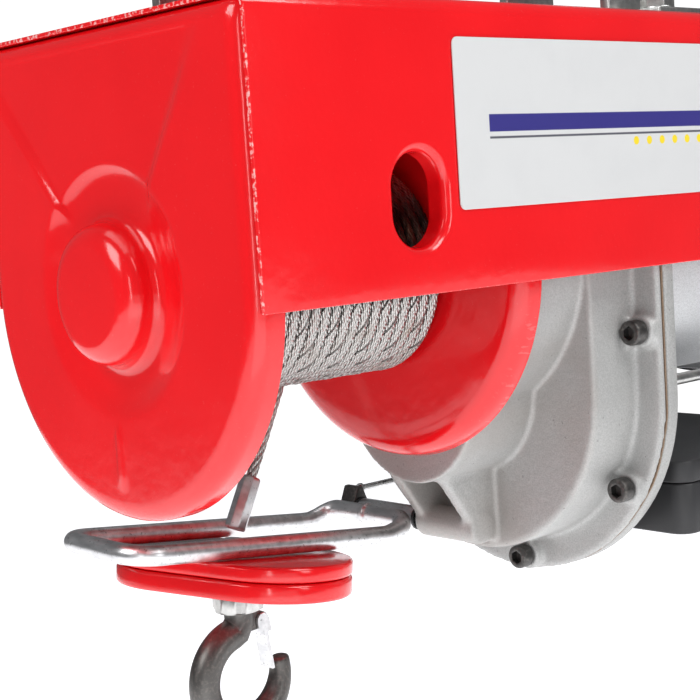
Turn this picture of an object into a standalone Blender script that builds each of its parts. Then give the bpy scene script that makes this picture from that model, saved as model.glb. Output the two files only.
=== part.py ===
"""Electric wire rope hoist: sheet frame, rope drum, cast gearbox, motor, limit lever and hook.

Each sub-part is one named object. Local frame: X along the drum axis, from the end cover
towards the motor; Y across, the front panel at -Y; Z up, zero on the drum axis. The empty
"hoist" carries everything, so that the world origin is on the frame's top face, midway
between the two hanging clamps.
"""
import math

import bmesh
import bpy
from mathutils import Matrix, Vector

MM = 0.001

# ---------------------------------------------------------------- driving dimensions
GAP = 0.3 * MM                    # clearance between pieces that touch
SEGMENTS = 32                     # sides of a large turned piece
SMALL_SEGMENTS = 16               # sides of a small turned piece
COVER_SEGMENTS = 40               # points round the end cover

FRAME_START = -2.2 * MM           # left edge of the sheet channel
FRAME_END = 300.0 * MM            # right edge of the sheet channel
FRAME_INNER_HALF = 79.7 * MM      # half the clear width between the side panels
FRAME_SHEET = 1.6 * MM
FRAME_RISE = 92.0 * MM            # drum axis to the frame's top face
FRAME_SKIRT = 6.3 * MM            # drum axis down to the panels' lower edge
FRAME_BEND = 6.0 * MM             # outer bend radius of the channel
SEAT_RISE = 0.8 * MM              # pressed-up seat for the carrying bar, along the frame's top
SEAT_HALF = 20.0 * MM
SEAT_REACH = 30.0 * MM            # how far it runs past the clamps

SLOT_X = 67.2 * MM                # centre of the inspection slot in the front panel
SLOT_Z = 25.2 * MM
SLOT_WIDTH = 30.0 * MM
SLOT_HEIGHT = 38.6 * MM
SLOT_LIP = 3.4 * MM               # inward roll of the slot's rim
SLOT_DEPTH = 9.0 * MM

PLATE_START = 85.0 * MM           # name plate on the front panel
PLATE_LENGTH = 170.0 * MM
PLATE_BOTTOM = 20.8 * MM
PLATE_HEIGHT = 58.0 * MM
PLATE_THICKNESS = 0.5 * MM

COVER_SHEET = 1.6 * MM
COVER_FACE = -4.0 * MM            # outer face of the stamped end cover
COVER_REAR = 7.8 * MM             # its rear rim
COVER_FILLET = 6.5 * MM
COVER_CORNER_LEAST = 0.8 * MM     # its top corners never get sharper than this
RECESS_RADIUS = 44.0 * MM         # round recess about the boss
RECESS_DEPTH = 4.0 * MM
RECESS_FLOOR = 30.0 * MM          # radius where the recess is deepest
BOSS_REACH = 13.5 * MM            # boss face in front of the drum's zero plane
BOSS_ROOT = 4.5 * MM              # fillet at the boss's foot
BOSS_EDGE = 8.0 * MM              # fillet at its face

BEARING_GAP = 0.3 * MM
END_BEARING_OUTER = 22.5 * MM
END_BEARING_WIDTH = 9.0 * MM
SHAFT_RADIUS = 8.5 * MM
MAIN_BEARING_OUTER = 26.0 * MM
MAIN_BEARING_WIDTH = 15.0 * MM
MAIN_SHAFT_RADIUS = 12.5 * MM

ROPE_DIAMETER = 4.5 * MM
DRUM_RADIUS = 32.5 * MM
DRUM_WALL = 4.0 * MM
DRUM_START = 6.8 * MM             # inner face of the left flange
DRUM_END = 119.5 * MM             # inner face of the right flange
FLANGE_SHEET = 2.2 * MM
LEFT_FLANGE_RADIUS = 74.0 * MM
RIGHT_FLANGE_RADIUS = 77.1 * MM
RIGHT_FLANGE_RIM = 11.3 * MM      # how far the right flange's rim rolls out
PILE_RADIUS = 40.9 * MM           # outside of the wound rope
PILE_END = 118.4 * MM

STAGE_CENTRES = 53.0 * MM         # drum axis to countershaft axis
HOUSING_FACE = 168.0 * MM
HOUSING_STEP = 194.5 * MM         # left face of the housing's bolting flange
HOUSING_FLANGE = 3.5 * MM
HOUSING_HALF = 67.0 * MM          # half width of the housing's body
HOUSING_LOW = 55.5 * MM           # drum axis to the centre of its lower arc
FLANGE_HALF = 79.0 * MM           # half width of its bolting flange
FLANGE_LOW = 57.5 * MM            # drum axis to the centre of the flange's lower arc
HOUSING_WALL = 4.5 * MM
HUB_RADIUS = 64.5 * MM
HUB_START = 132.4 * MM
LOBE_RADIUS = 36.2 * MM
LOBE_START = 132.0 * MM
GASKET_THICKNESS = 0.8 * MM
COVER_PLATE = 6.4 * MM            # thickness of the gear cover
SCREW_CIRCLE = 73.4 * MM
SCREW_THREAD = 3.0 * MM
SCREW_SIDES = 10                  # sides of the screws and their holes
SCREW_HEAD = 5.0 * MM
SCREW_HEAD_LENGTH = 6.0 * MM
SCREW_BOSS = 6.4 * MM             # radius of the round boss under a screw head
SCREW_BOSS_LENGTH = 4.0 * MM

PINION_TEETH = 13
LARGE_TEETH = 93
DRUM_PINION_TEETH = 10
DRUM_GEAR_TEETH = 43
GEAR_WIDTH = 9.0 * MM

MOTOR_RADIUS = 62.0 * MM
MOTOR_WALL = 4.0 * MM
MOTOR_LENGTH = 104.0 * MM
BELL_HALF = 65.0 * MM
BELL_THICKNESS = 8.0 * MM
ROTOR_RADIUS = 34.0 * MM
ROTOR_SHAFT = 6.0 * MM
AIR_GAP = 0.6 * MM
FAN_COVER_LENGTH = 52.0 * MM
TIE_ROD_PLACE = 57.0 * MM
TIE_ROD_RADIUS = 2.5 * MM

BOX_START = 219.0 * MM            # plastic electrical box under the motor
BOX_LENGTH = 112.0 * MM
BOX_HALF = 70.0 * MM
BOX_TOP = -89.0 * MM
BOX_SEAM = -98.4 * MM
BOX_BOTTOM = -119.6 * MM
BOX_WALL = 2.5 * MM
BOX_CORNER = 8.0 * MM
SWITCH_INSET = 8.0 * MM           # limit switch behind the box's inner wall
SWITCH_LENGTH = 20.0 * MM
SWITCH_WIDTH = 31.0 * MM
SWITCH_HEIGHT = 20.0 * MM
SWITCH_TRAVEL = 3.2 * MM          # room in front of the switch for its push rod
NECK_PLACE = 34.0 * MM            # cable neck behind the box's front wall
NECK_RADIUS = 17.0 * MM

LEVER_X = 159.0 * MM              # axis of the limit lever
LEVER_Z = -111.2 * MM
LEVER_PIN_RADIUS = 4.0 * MM
SLEEVE_RADIUS = 6.9 * MM
SLEEVE_FRONT = -12.8 * MM
SLEEVE_BACK = 21.0 * MM
WEB_THICKNESS = 5.0 * MM
WEB_INSET = 0.6 * MM              # webs stand this far inside the sleeve's ends and the lobe's face
WEB_TOP = -80.2 * MM              # where a web's sloping edge leaves the lobe
BUSH_RADIUS = 4.9 * MM
BUSH_START = 24.0 * MM
BUSH_END = 61.6 * MM
WIRE_RADIUS = 4.0 * MM            # wire of the bail
BAIL_FRONT = 21.0 * MM
BAIL_BACK = 72.0 * MM
BAIL_LEFT = 12.2 * MM
BAIL_CORNER = 11.0 * MM
BAIL_CLEAR = 6.5 * MM             # room between the bail's end wire and the lever's axis
TRIP_ARM_ROOT = 5.6 * MM          # radius of the trip arm about the lever pin
TRIP_ARM_RISE = 7.6 * MM          # height of the push rod over the lever's axis
TRIP_ARM_TIP = 1.4 * MM           # half width of its tip
TRIP_ARM_OVER = 2.4 * MM          # tip above the push rod's centre
TRIP_ARM_WIDTH = 6.0 * MM
ROD_RADIUS = 1.5 * MM
ROD_HEAD = 4.4 * MM               # push rod's head to the lever's axis

HOOK_X = 70.5 * MM                # hook axis under the raised rope end
HOOK_Y = 40.5 * MM
STOP_TOP = -109.8 * MM
STOP_UPPER = 6.2 * MM
STOP_LOWER = 7.6 * MM
STOP_LENGTH = 100.0 * MM
STOP_WIDTH = 62.0 * MM
STOP_TURN = 110.0                 # degrees from X
BAIL_SLOPE = 0.131                # fall of the raised bail, and of the stop plates under it
STOP_BORE = 8.0 * MM              # loose bore that lets the hook hang plumb
SHANK_RADIUS = 6.0 * MM
HOOK_WIRE = 6.2 * MM
HOOK_BOWL = 13.0 * MM
HOOK_TIP = 4.2 * MM
HOOK_NECK = 9.0 * MM              # shank left below the nut
HOOK_SWEEP = (110, 370)           # bowl from the neck round to the tip, in degrees from X
HOOK_STEP = 20
HOOK_TAPER = 290                  # where the bar starts to thin towards its tip
NUT_RADIUS = 11.0 * MM
NUT_HEIGHT = 8.0 * MM
LATCH_EAR = 5.0 * MM              # width of the hook's ear for its latch
LATCH_EYE = 3.4 * MM
LATCH_RISE = 3.0 * MM             # latch rivet above the hook's neck
LATCH_RIVET = 1.5 * MM
LATCH_SHEET = 1.2 * MM
FERRULE_RADIUS = 4.5 * MM
FERRULE_LENGTH = 22.0 * MM

CLAMP_PLACES = (60.0 * MM, 250.0 * MM)
CLAMP_INNER = 26.0 * MM           # half the clear width for the carrying bar
CLAMP_HEIGHT = 52.0 * MM          # clear height over the clamp's feet
CLAMP_SHEET = 5.0 * MM
CLAMP_WIDTH = 32.0 * MM
CLAMP_FOOT = 26.0 * MM
BOLT_RADIUS = 4.0 * MM
BOLT_HEAD = 6.5 * MM
BOLT_HEAD_LENGTH = 5.3 * MM

# ---------------------------------------------------------------- sizes that follow
COVER_HALF = FRAME_INNER_HALF - GAP
HOUSING_MATE = HOUSING_STEP + HOUSING_FLANGE
COVER_PLATE_START = HOUSING_MATE + GASKET_THICKNESS + 2 * GAP
COVER_PLATE_END = COVER_PLATE_START + COVER_PLATE
MOTOR_START = COVER_PLATE_END + GAP + BELL_THICKNESS + GAP
MOTOR_END = MOTOR_START + MOTOR_LENGTH
REAR_BELL_END = MOTOR_END + GAP + BELL_THICKNESS
STATOR_BORE = ROTOR_RADIUS + AIR_GAP
PINION_RADIUS = STAGE_CENTRES * PINION_TEETH / (PINION_TEETH + LARGE_TEETH)
LARGE_RADIUS = STAGE_CENTRES - PINION_RADIUS
DRUM_PINION_RADIUS = STAGE_CENTRES * DRUM_PINION_TEETH / (DRUM_PINION_TEETH + DRUM_GEAR_TEETH)
DRUM_GEAR_RADIUS = STAGE_CENTRES - DRUM_PINION_RADIUS
DRUM_GEAR_START = HOUSING_FACE + HOUSING_WALL + 2.0 * MM
LARGE_GEAR_START = DRUM_GEAR_START + GEAR_WIDTH + 2.0 * MM
BOSS_RADIUS = END_BEARING_OUTER + BEARING_GAP + COVER_SHEET
END_BEARING_START = BOSS_EDGE - BOSS_REACH
MAIN_BEARING_START = HOUSING_FACE - MAIN_BEARING_WIDTH - 2.0 * MM
SMALL_BEARING_OUTER = 16.0 * MM
SMALL_BEARING_WIDTH = 10.0 * MM
SMALL_SHAFT = 6.0 * MM
MOTOR_BEARING_OUTER = 14.0 * MM
CLAMP_MIDDLE = sum(CLAMP_PLACES) / len(CLAMP_PLACES)


# ---------------------------------------------------------------- scene and materials
def clear_scene():
    for old in list(bpy.data.objects):
        bpy.data.objects.remove(old, do_unlink=True)


def make_material(name, colour, roughness, metallic):
    material = bpy.data.materials.new(name)
    material.use_nodes = True
    shader = material.node_tree.nodes["Principled BSDF"]
    shader.inputs["Base Color"].default_value = (*colour, 1.0)
    shader.inputs["Roughness"].default_value = roughness
    shader.inputs["Metallic"].default_value = metallic
    return material


clear_scene()
RED = make_material("red_paint", (0.80, 0.015, 0.02), 0.28, 0.0)
CAST = make_material("cast_aluminium", (0.45, 0.45, 0.44), 0.55, 0.7)
STEEL = make_material("bright_steel", (0.55, 0.55, 0.55), 0.32, 1.0)
ZINC = make_material("zinc_plate", (0.66, 0.66, 0.67), 0.22, 1.0)
DARK = make_material("dark_steel", (0.12, 0.12, 0.12), 0.40, 0.9)
ROPE = make_material("rope_steel", (0.48, 0.47, 0.45), 0.45, 0.9)
BLACK = make_material("black_plastic", (0.02, 0.02, 0.022), 0.50, 0.0)
LABEL = make_material("pale_plate", (0.78, 0.79, 0.80), 0.40, 0.0)
GASKET = make_material("gasket_fibre", (0.22, 0.14, 0.09), 0.80, 0.0)

HOIST = bpy.data.objects.new("hoist", None)
HOIST.location = (-CLAMP_MIDDLE, 0.0, -FRAME_RISE - SEAT_RISE)
bpy.context.scene.collection.objects.link(HOIST)


# ---------------------------------------------------------------- mesh helpers
def add_object(name, mesh, material, at=(0.0, 0.0, 0.0)):
    """Link a mesh under the hoist, with its origin at the local place given."""
    mesh.transform(Matrix.Translation(-Vector(at)))
    thing = bpy.data.objects.new(name, mesh)
    thing.location = at
    thing.parent = HOIST
    mesh.materials.append(material)
    bpy.context.scene.collection.objects.link(thing)
    return thing


def finish_mesh(name, work, material, at=(0.0, 0.0, 0.0), smooth=True):
    bmesh.ops.remove_doubles(work, verts=work.verts, dist=0.000001)
    bmesh.ops.recalc_face_normals(work, faces=work.faces)
    mesh = bpy.data.meshes.new(name)
    work.to_mesh(mesh)
    work.free()
    if smooth:
        mesh.shade_smooth()
        mesh.set_sharp_from_angle(angle=math.radians(35))
    return add_object(name, mesh, material, at)


def bridge_rings(work, rings, closed=False):
    """Join rings of equal count; a ring of one vertex is a pole."""
    pairs = list(zip(rings, rings[1:]))
    if closed:
        pairs.append((rings[-1], rings[0]))
    for first, second in pairs:
        count = max(len(first), len(second))
        for i in range(count):
            j = (i + 1) % count
            corners = [first[i % len(first)], first[j % len(first)],
                       second[j % len(second)], second[i % len(second)]]
            unique = list(dict.fromkeys(corners))
            if len(unique) > 2:
                work.faces.new(unique)


def ring_stack(name, rings, material, closed=False, at=(0.0, 0.0, 0.0)):
    """A closed solid through rings of points; flat ends are filled unless the stack closes."""
    work = bmesh.new()
    made = [[work.verts.new(point) for point in ring] for ring in rings]
    bridge_rings(work, made, closed)
    if not closed:
        for end in (made[0], made[-1]):
            if len(end) > 2:
                work.faces.new(end)
    return finish_mesh(name, work, material, at)


def circle_points(radius, along, centre=(0.0, 0.0), axis="X", count=SEGMENTS):
    """Points of a circle about an axis, at one place along it."""
    points = []
    for i in range(count):
        turn = 2 * math.pi * i / count
        first = centre[0] + radius * math.cos(turn)
        second = centre[1] + radius * math.sin(turn)
        points.append(place(axis, along, first, second))
    return points


def place(axis, along, first, second):
    """Local point from a place along an axis and the two other coordinates in order."""
    if axis == "X":
        return Vector((along, first, second))
    if axis == "Y":
        return Vector((first, along, second))
    return Vector((first, second, along))


def turned(name, profile, material, centre=(0.0, 0.0), axis="X", count=SEGMENTS, at=None):
    """Turn a closed profile of (along, radius) points about an axis."""
    rings = []
    for along, radius in profile:
        if radius == 0:
            rings.append([place(axis, along, *centre)])
        else:
            rings.append(circle_points(radius, along, centre, axis, count))
    touches_axis = any(radius == 0 for _, radius in profile)
    origin = at if at is not None else place(axis, profile[0][0], *centre)
    return ring_stack(name, rings, material, closed=not touches_axis, at=origin)


def tube(start, end, outer, inner):
    """Profile of a plain tube or, with inner zero, of a solid rod."""
    if inner == 0:
        return [(start, 0), (start, outer), (end, outer), (end, 0)]
    return [(start, outer), (end, outer), (end, inner), (start, inner)]


def prism(name, outline, low, high, material, axis="X", at=(0.0, 0.0, 0.0)):
    """Extrude an outline of two coordinates between two places along an axis."""
    rings = [[place(axis, level, first, second) for first, second in outline] for level in (low, high)]
    return ring_stack(name, rings, material, at=at)


def block(name, low, high, material):
    outline = [(low[1], low[2]), (high[1], low[2]), (high[1], high[2]), (low[1], high[2])]
    return prism(name, outline, low[0], high[0], material)


def arc(centre, radius, start, end, steps):
    """Points of an arc, in degrees, both ends included."""
    points = []
    for i in range(steps + 1):
        turn = math.radians(start + (end - start) * i / steps)
        points.append((centre[0] + radius * math.cos(turn), centre[1] + radius * math.sin(turn)))
    return points


def rounded_box(half_first, low, high, corner, steps=4):
    """Outline of a box symmetric about zero, with round corners."""
    outline = arc((half_first - corner, high - corner), corner, 0, 90, steps)
    outline += arc((-half_first + corner, high - corner), corner, 90, 180, steps)
    outline += arc((-half_first + corner, low + corner), corner, 180, 270, steps)
    outline += arc((half_first - corner, low + corner), corner, 270, 360, steps)
    return outline


def stadium(half, low_centre, high_centre, steps=10):
    """Upright outline with round ends about two centres on the zero line."""
    outline = arc((0.0, high_centre), half, 0, 180, steps)
    outline += arc((0.0, low_centre), half, 180, 360, steps)
    return outline


def boolean(target, tool, operation):
    tool.hide_render = True
    tool.display_type = "WIRE"
    step = target.modifiers.new(operation.lower() + "_" + tool.name, "BOOLEAN")
    step.operation = operation
    step.solver = "EXACT"
    step.object = tool


def cut(target, *tools):
    for tool in tools:
        boolean(target, tool, "DIFFERENCE")


def join(target, *tools):
    for tool in tools:
        boolean(target, tool, "UNION")


def rod_along(name, axis, start, end, radius, centre, material, count=SMALL_SEGMENTS):
    return turned(name, tube(start, end, radius, 0), material, centre, axis, count)


def wire(name, points, radius, material, cyclic=False, resolution=2, at=(0.0, 0.0, 0.0), radii=None):
    """A round bar along hand-placed or worked-out points."""
    curve = bpy.data.curves.new(name, "CURVE")
    curve.dimensions = "3D"
    curve.bevel_depth = radius
    curve.bevel_resolution = resolution
    curve.use_fill_caps = True
    spline = curve.splines.new("POLY")
    spline.points.add(len(points) - 1)
    for i, point in enumerate(points):
        spline.points[i].co = (*(Vector(point) - Vector(at)), 1.0)
        spline.points[i].radius = radii[i] if radii else 1.0
    spline.use_cyclic_u = cyclic
    thing = bpy.data.objects.new(name, curve)
    thing.location = at
    thing.parent = HOIST
    curve.materials.append(material)
    bpy.context.scene.collection.objects.link(thing)
    return thing


def smooth_curve(points, count):
    """Evenly spaced points on a Catmull-Rom curve through the points given."""
    ends = [2 * Vector(points[0]) - Vector(points[1])]
    ends += [Vector(p) for p in points]
    ends += [2 * Vector(points[-1]) - Vector(points[-2])]
    spans = len(points) - 1
    result = []
    for i in range(count):
        t = spans * i / (count - 1)
        k = min(int(t), spans - 1)
        u = t - k
        p0, p1, p2, p3 = ends[k:k + 4]
        result.append(0.5 * (2 * p1 + (p2 - p0) * u + (2 * p0 - 5 * p1 + 4 * p2 - p3) * u * u
                             + (3 * p1 - p0 - 3 * p2 + p3) * u ** 3))
    return result


# ---------------------------------------------------------------- sheet frame
def channel_outline():
    outer = FRAME_INNER_HALF + FRAME_SHEET
    inner_bend = FRAME_BEND - FRAME_SHEET
    level = FRAME_RISE - FRAME_BEND
    outline = [(outer, -FRAME_SKIRT)]
    outline += arc((outer - FRAME_BEND, level), FRAME_BEND, 0, 90, 4)
    outline += arc((FRAME_BEND - outer, level), FRAME_BEND, 90, 180, 4)
    outline += [(-outer, -FRAME_SKIRT), (-FRAME_INNER_HALF, -FRAME_SKIRT)]
    outline += arc((FRAME_BEND - outer, level), inner_bend, 180, 90, 4)
    outline += arc((outer - FRAME_BEND, level), inner_bend, 90, 0, 4)
    outline += [(FRAME_INNER_HALF, -FRAME_SKIRT)]
    return outline


def slot_ring(inset, depth):
    """Points round the slot, moved inwards from its mouth and back from the panel's face."""
    half = SLOT_WIDTH / 2 - inset
    offset = (SLOT_HEIGHT - SLOT_WIDTH) / 2
    level = -(FRAME_INNER_HALF + FRAME_SHEET) + depth
    outline = arc((SLOT_X, SLOT_Z + offset), half, 0, 180, 8)
    outline += arc((SLOT_X, SLOT_Z - offset), half, 180, 360, 8)
    return [Vector((x, level, z)) for x, z in outline]


def seat_outline():
    low = FRAME_RISE - FRAME_SHEET / 2
    high = FRAME_RISE + SEAT_RISE
    return [(-SEAT_HALF, low), (SEAT_HALF, low), (SEAT_HALF - SEAT_RISE, high), (SEAT_RISE - SEAT_HALF, high)]


def make_frame():
    frame = prism("frame_channel", channel_outline(), FRAME_START, FRAME_END, RED)
    opening = ring_stack("slot_cutter", [slot_ring(0.0, -2 * MM), slot_ring(0.0, 4 * MM)], RED)
    roll = []
    for step in range(5):
        turn = math.radians(90 * step / 4)
        roll.append((SLOT_LIP * math.sin(turn), 0.25 * MM + SLOT_LIP * (1 - math.cos(turn))))
    profile = [(-1.0 * MM, 0.25 * MM)] + roll + [(SLOT_LIP, SLOT_DEPTH)]
    profile += [(SLOT_LIP - 1.2 * MM, SLOT_DEPTH), (SLOT_LIP - 1.2 * MM, SLOT_LIP + 0.4 * MM)]
    profile += [(SLOT_LIP * 0.55 - 0.9 * MM, SLOT_LIP * 0.35 + 0.9 * MM), (0.2 * MM, 1.35 * MM), (-1.0 * MM, 1.35 * MM)]
    rim = ring_stack("slot_rim", [slot_ring(x, d) for x, d in profile], RED, closed=True)
    ridge = prism("bar_seat_ridge", seat_outline(), CLAMP_PLACES[0] - SEAT_REACH, CLAMP_PLACES[1] + SEAT_REACH, RED)
    cut(frame, opening)
    join(frame, rim, ridge)
    for i, x in enumerate(CLAMP_PLACES):
        for j, side in enumerate((-1, 1)):
            hole = rod_along(f"top_hole_{i}{j}", "Z", FRAME_RISE - 10 * MM, FRAME_RISE + 10 * MM,
                             BOLT_RADIUS + GAP, (x, side * bolt_offset()), RED)
            cut(frame, hole)


def make_name_plate():
    level = -(FRAME_INNER_HALF + FRAME_SHEET) - GAP
    low = PLATE_BOTTOM
    middle = PLATE_START + PLATE_LENGTH / 2
    outline = [(middle + x, z) for x, z in
               rounded_box(PLATE_LENGTH / 2, low, low + PLATE_HEIGHT, 2.5 * MM, 2)]
    prism("name_plate", outline, level - PLATE_THICKNESS, level, LABEL, axis="Y")


# ---------------------------------------------------------------- stamped end cover
def cover_ring(inset, along):
    """Cover outline at one inset: half circle below the axis, straight sides up to the top."""
    half = COVER_HALF - inset
    top = FRAME_RISE - FRAME_SHEET - GAP - inset
    corner = max(FRAME_BEND - FRAME_SHEET - inset, COVER_CORNER_LEAST)
    points = []
    for i in range(COVER_SEGMENTS):
        turn = 2 * math.pi * i / COVER_SEGMENTS
        side, up = math.cos(turn), math.sin(turn)
        if up <= 0:
            points.append(Vector((along, half * side, half * up)))
            continue
        reach = min(half / max(abs(side), 1e-9), top / up)
        first, second = reach * side, reach * up
        over_first = abs(first) - (half - corner)
        over_second = second - (top - corner)
        if over_first > 0 and over_second > 0:
            length = math.hypot(over_first, over_second)
            first = math.copysign(half - corner + corner * over_first / length, first)
            second = top - corner + corner * over_second / length
        points.append(Vector((along, first, second)))
    return points


def cover_skin(wall):
    """Rings of the cover's skin, from the rear rim to the middle of the boss; wall 0 is the outer skin."""
    fillet = COVER_FILLET - wall
    rings = [cover_ring(wall, COVER_REAR)]
    for step in range(4):
        turn = math.radians(90 * step / 3)
        rings.append(cover_ring(wall + fillet * (1 - math.cos(turn)),
                                COVER_FACE + wall + fillet * (1 - math.sin(turn))))
    floor = COVER_FACE + RECESS_DEPTH
    middle = (RECESS_RADIUS + RECESS_FLOOR) / 2
    profile = [(COVER_FACE + wall, RECESS_RADIUS), (floor - RECESS_DEPTH / 4 + wall, middle),
               (floor + wall, RECESS_FLOOR)]
    profile += arc((floor - BOSS_ROOT, BOSS_RADIUS + BOSS_ROOT), BOSS_ROOT + wall, 0, -90, 2)
    profile += arc((BOSS_EDGE - BOSS_REACH, BOSS_RADIUS - BOSS_EDGE), BOSS_EDGE - wall, 90, 180, 2)
    rings += [circle_points(radius, along, count=COVER_SEGMENTS) for along, radius in profile]
    rings.append([Vector((wall - BOSS_REACH, 0.0, 0.0))])
    return rings


def make_end_cover():
    """One sheet: the outer skin out from the boss to the rear rim, and the inner skin back again."""
    ring_stack("end_cover", list(reversed(cover_skin(0.0))) + cover_skin(COVER_SHEET), RED)


def make_bearing(name, start, width, outer, inner, centre=(0.0, 0.0)):
    turned(name, tube(start, start + width, outer, inner), STEEL, centre, count=32)


# ---------------------------------------------------------------- drum and rope
def make_drum():
    turned("drum_tube", tube(DRUM_START + GAP, DRUM_END - GAP, DRUM_RADIUS, DRUM_RADIUS - DRUM_WALL), STEEL)
    bore = SHAFT_RADIUS + 3.5 * MM + GAP
    left = DRUM_START - FLANGE_SHEET
    turned("drum_flange_left", tube(left, DRUM_START, LEFT_FLANGE_RADIUS, bore), RED)
    rim = RIGHT_FLANGE_RADIUS
    start = DRUM_END
    sheet = FLANGE_SHEET
    face = [(start, MAIN_SHAFT_RADIUS + GAP), (start, rim - 10.0 * MM), (start + 0.7 * MM, rim - 6.2 * MM),
            (start + 3.0 * MM, rim - 3.0 * MM), (start + 6.5 * MM, rim - 0.9 * MM),
            (start + RIGHT_FLANGE_RIM, rim), (start + RIGHT_FLANGE_RIM, rim - sheet),
            (start + 6.8 * MM, rim - 0.9 * MM - sheet), (start + 4.2 * MM, rim - 4.9 * MM),
            (start + 2.6 * MM, rim - 7.6 * MM), (start + sheet, rim - 11.0 * MM),
            (start + sheet, MAIN_SHAFT_RADIUS + GAP)]
    turned("drum_flange_right", face, RED)
    shoulder = SHAFT_RADIUS + 3.5 * MM
    end = DRUM_GEAR_START + GEAR_WIDTH
    shaft = [(END_BEARING_START, 0), (END_BEARING_START, SHAFT_RADIUS),
             (END_BEARING_START + END_BEARING_WIDTH + GAP, SHAFT_RADIUS),
             (END_BEARING_START + END_BEARING_WIDTH + GAP, shoulder),
             (DRUM_END - 12.0 * MM, shoulder), (DRUM_END - 12.0 * MM, MAIN_SHAFT_RADIUS),
             (end, MAIN_SHAFT_RADIUS), (end, 0)]
    turned("drum_shaft", shaft, STEEL, count=24)
    turned("drum_gear", tube(DRUM_GEAR_START, end - GAP, DRUM_GEAR_RADIUS - 0.4 * MM, MAIN_SHAFT_RADIUS + GAP), STEEL)
    inner = DRUM_RADIUS + GAP
    pile = [(DRUM_START + GAP, PILE_RADIUS - 1.4 * MM), (DRUM_START + 3 * MM, PILE_RADIUS),
            (PILE_END - 3.0 * MM, PILE_RADIUS), (PILE_END, PILE_RADIUS - 2.6 * MM),
            (PILE_END, inner), (DRUM_START + GAP, inner)]
    turned("rope_pile", pile, ROPE)


def rope_end():
    """Where the rope fall enters the ferrule, and the ferrule's direction."""
    direction = Vector((-0.46, 0.0, -0.888)).normalized()
    foot = Vector((HOOK_X + 1.2 * MM, HOOK_Y, STOP_TOP + 8.6 * MM))
    return foot - direction * FERRULE_LENGTH, direction


def make_rope_fall():
    top, direction = rope_end()
    start = top - direction * GAP
    route = [Vector((111.6 * MM, DRUM_RADIUS + 6.1 * MM, -20.5 * MM)),
             Vector((105.4 * MM, 39.2 * MM, -33.0 * MM)),
             Vector((97.9 * MM, 39.8 * MM, -48.8 * MM)),
             start - direction * 18.0 * MM,
             start - direction * 8.0 * MM,
             start]
    wire("rope_fall", smooth_curve(route, 9), ROPE_DIAMETER / 2, ROPE)


# ---------------------------------------------------------------- gearbox
def screw_places():
    """Screw centres round the housing: one at the bottom, then three up each side."""
    places = [(-7.0 * MM, -FLANGE_LOW - 72.1 * MM)]
    for side in (-1, 1):
        places.append((side * 72.4 * MM, -32.0 * MM))
        places.append((side * 62.5 * MM, -FLANGE_LOW - 37.8 * MM))
        high = math.radians(32)
        places.append((side * SCREW_CIRCLE * math.cos(high), SCREW_CIRCLE * math.sin(high)))
    return places


def web_outline():
    """Side view of a lever web, from the lobe and the housing's face down to the sleeve."""
    inside = HOUSING_FACE + HOUSING_WALL / 3
    shoulder = -STAGE_CENTRES - LOBE_RADIUS / 2
    start = LOBE_START + WEB_INSET
    return [(inside, shoulder), (inside, LEVER_Z - SLEEVE_RADIUS),
            (LEVER_X - SLEEVE_RADIUS / 3, LEVER_Z - SLEEVE_RADIUS * 0.94),
            (LEVER_X - SLEEVE_RADIUS * 0.9, LEVER_Z - SLEEVE_RADIUS / 2),
            (LEVER_X - SLEEVE_RADIUS, LEVER_Z + SLEEVE_RADIUS / 2),
            ((LEVER_X - SLEEVE_RADIUS + start) / 2, (LEVER_Z + SLEEVE_RADIUS / 2 + WEB_TOP) / 2),
            (start, WEB_TOP), (start, shoulder)]


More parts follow.
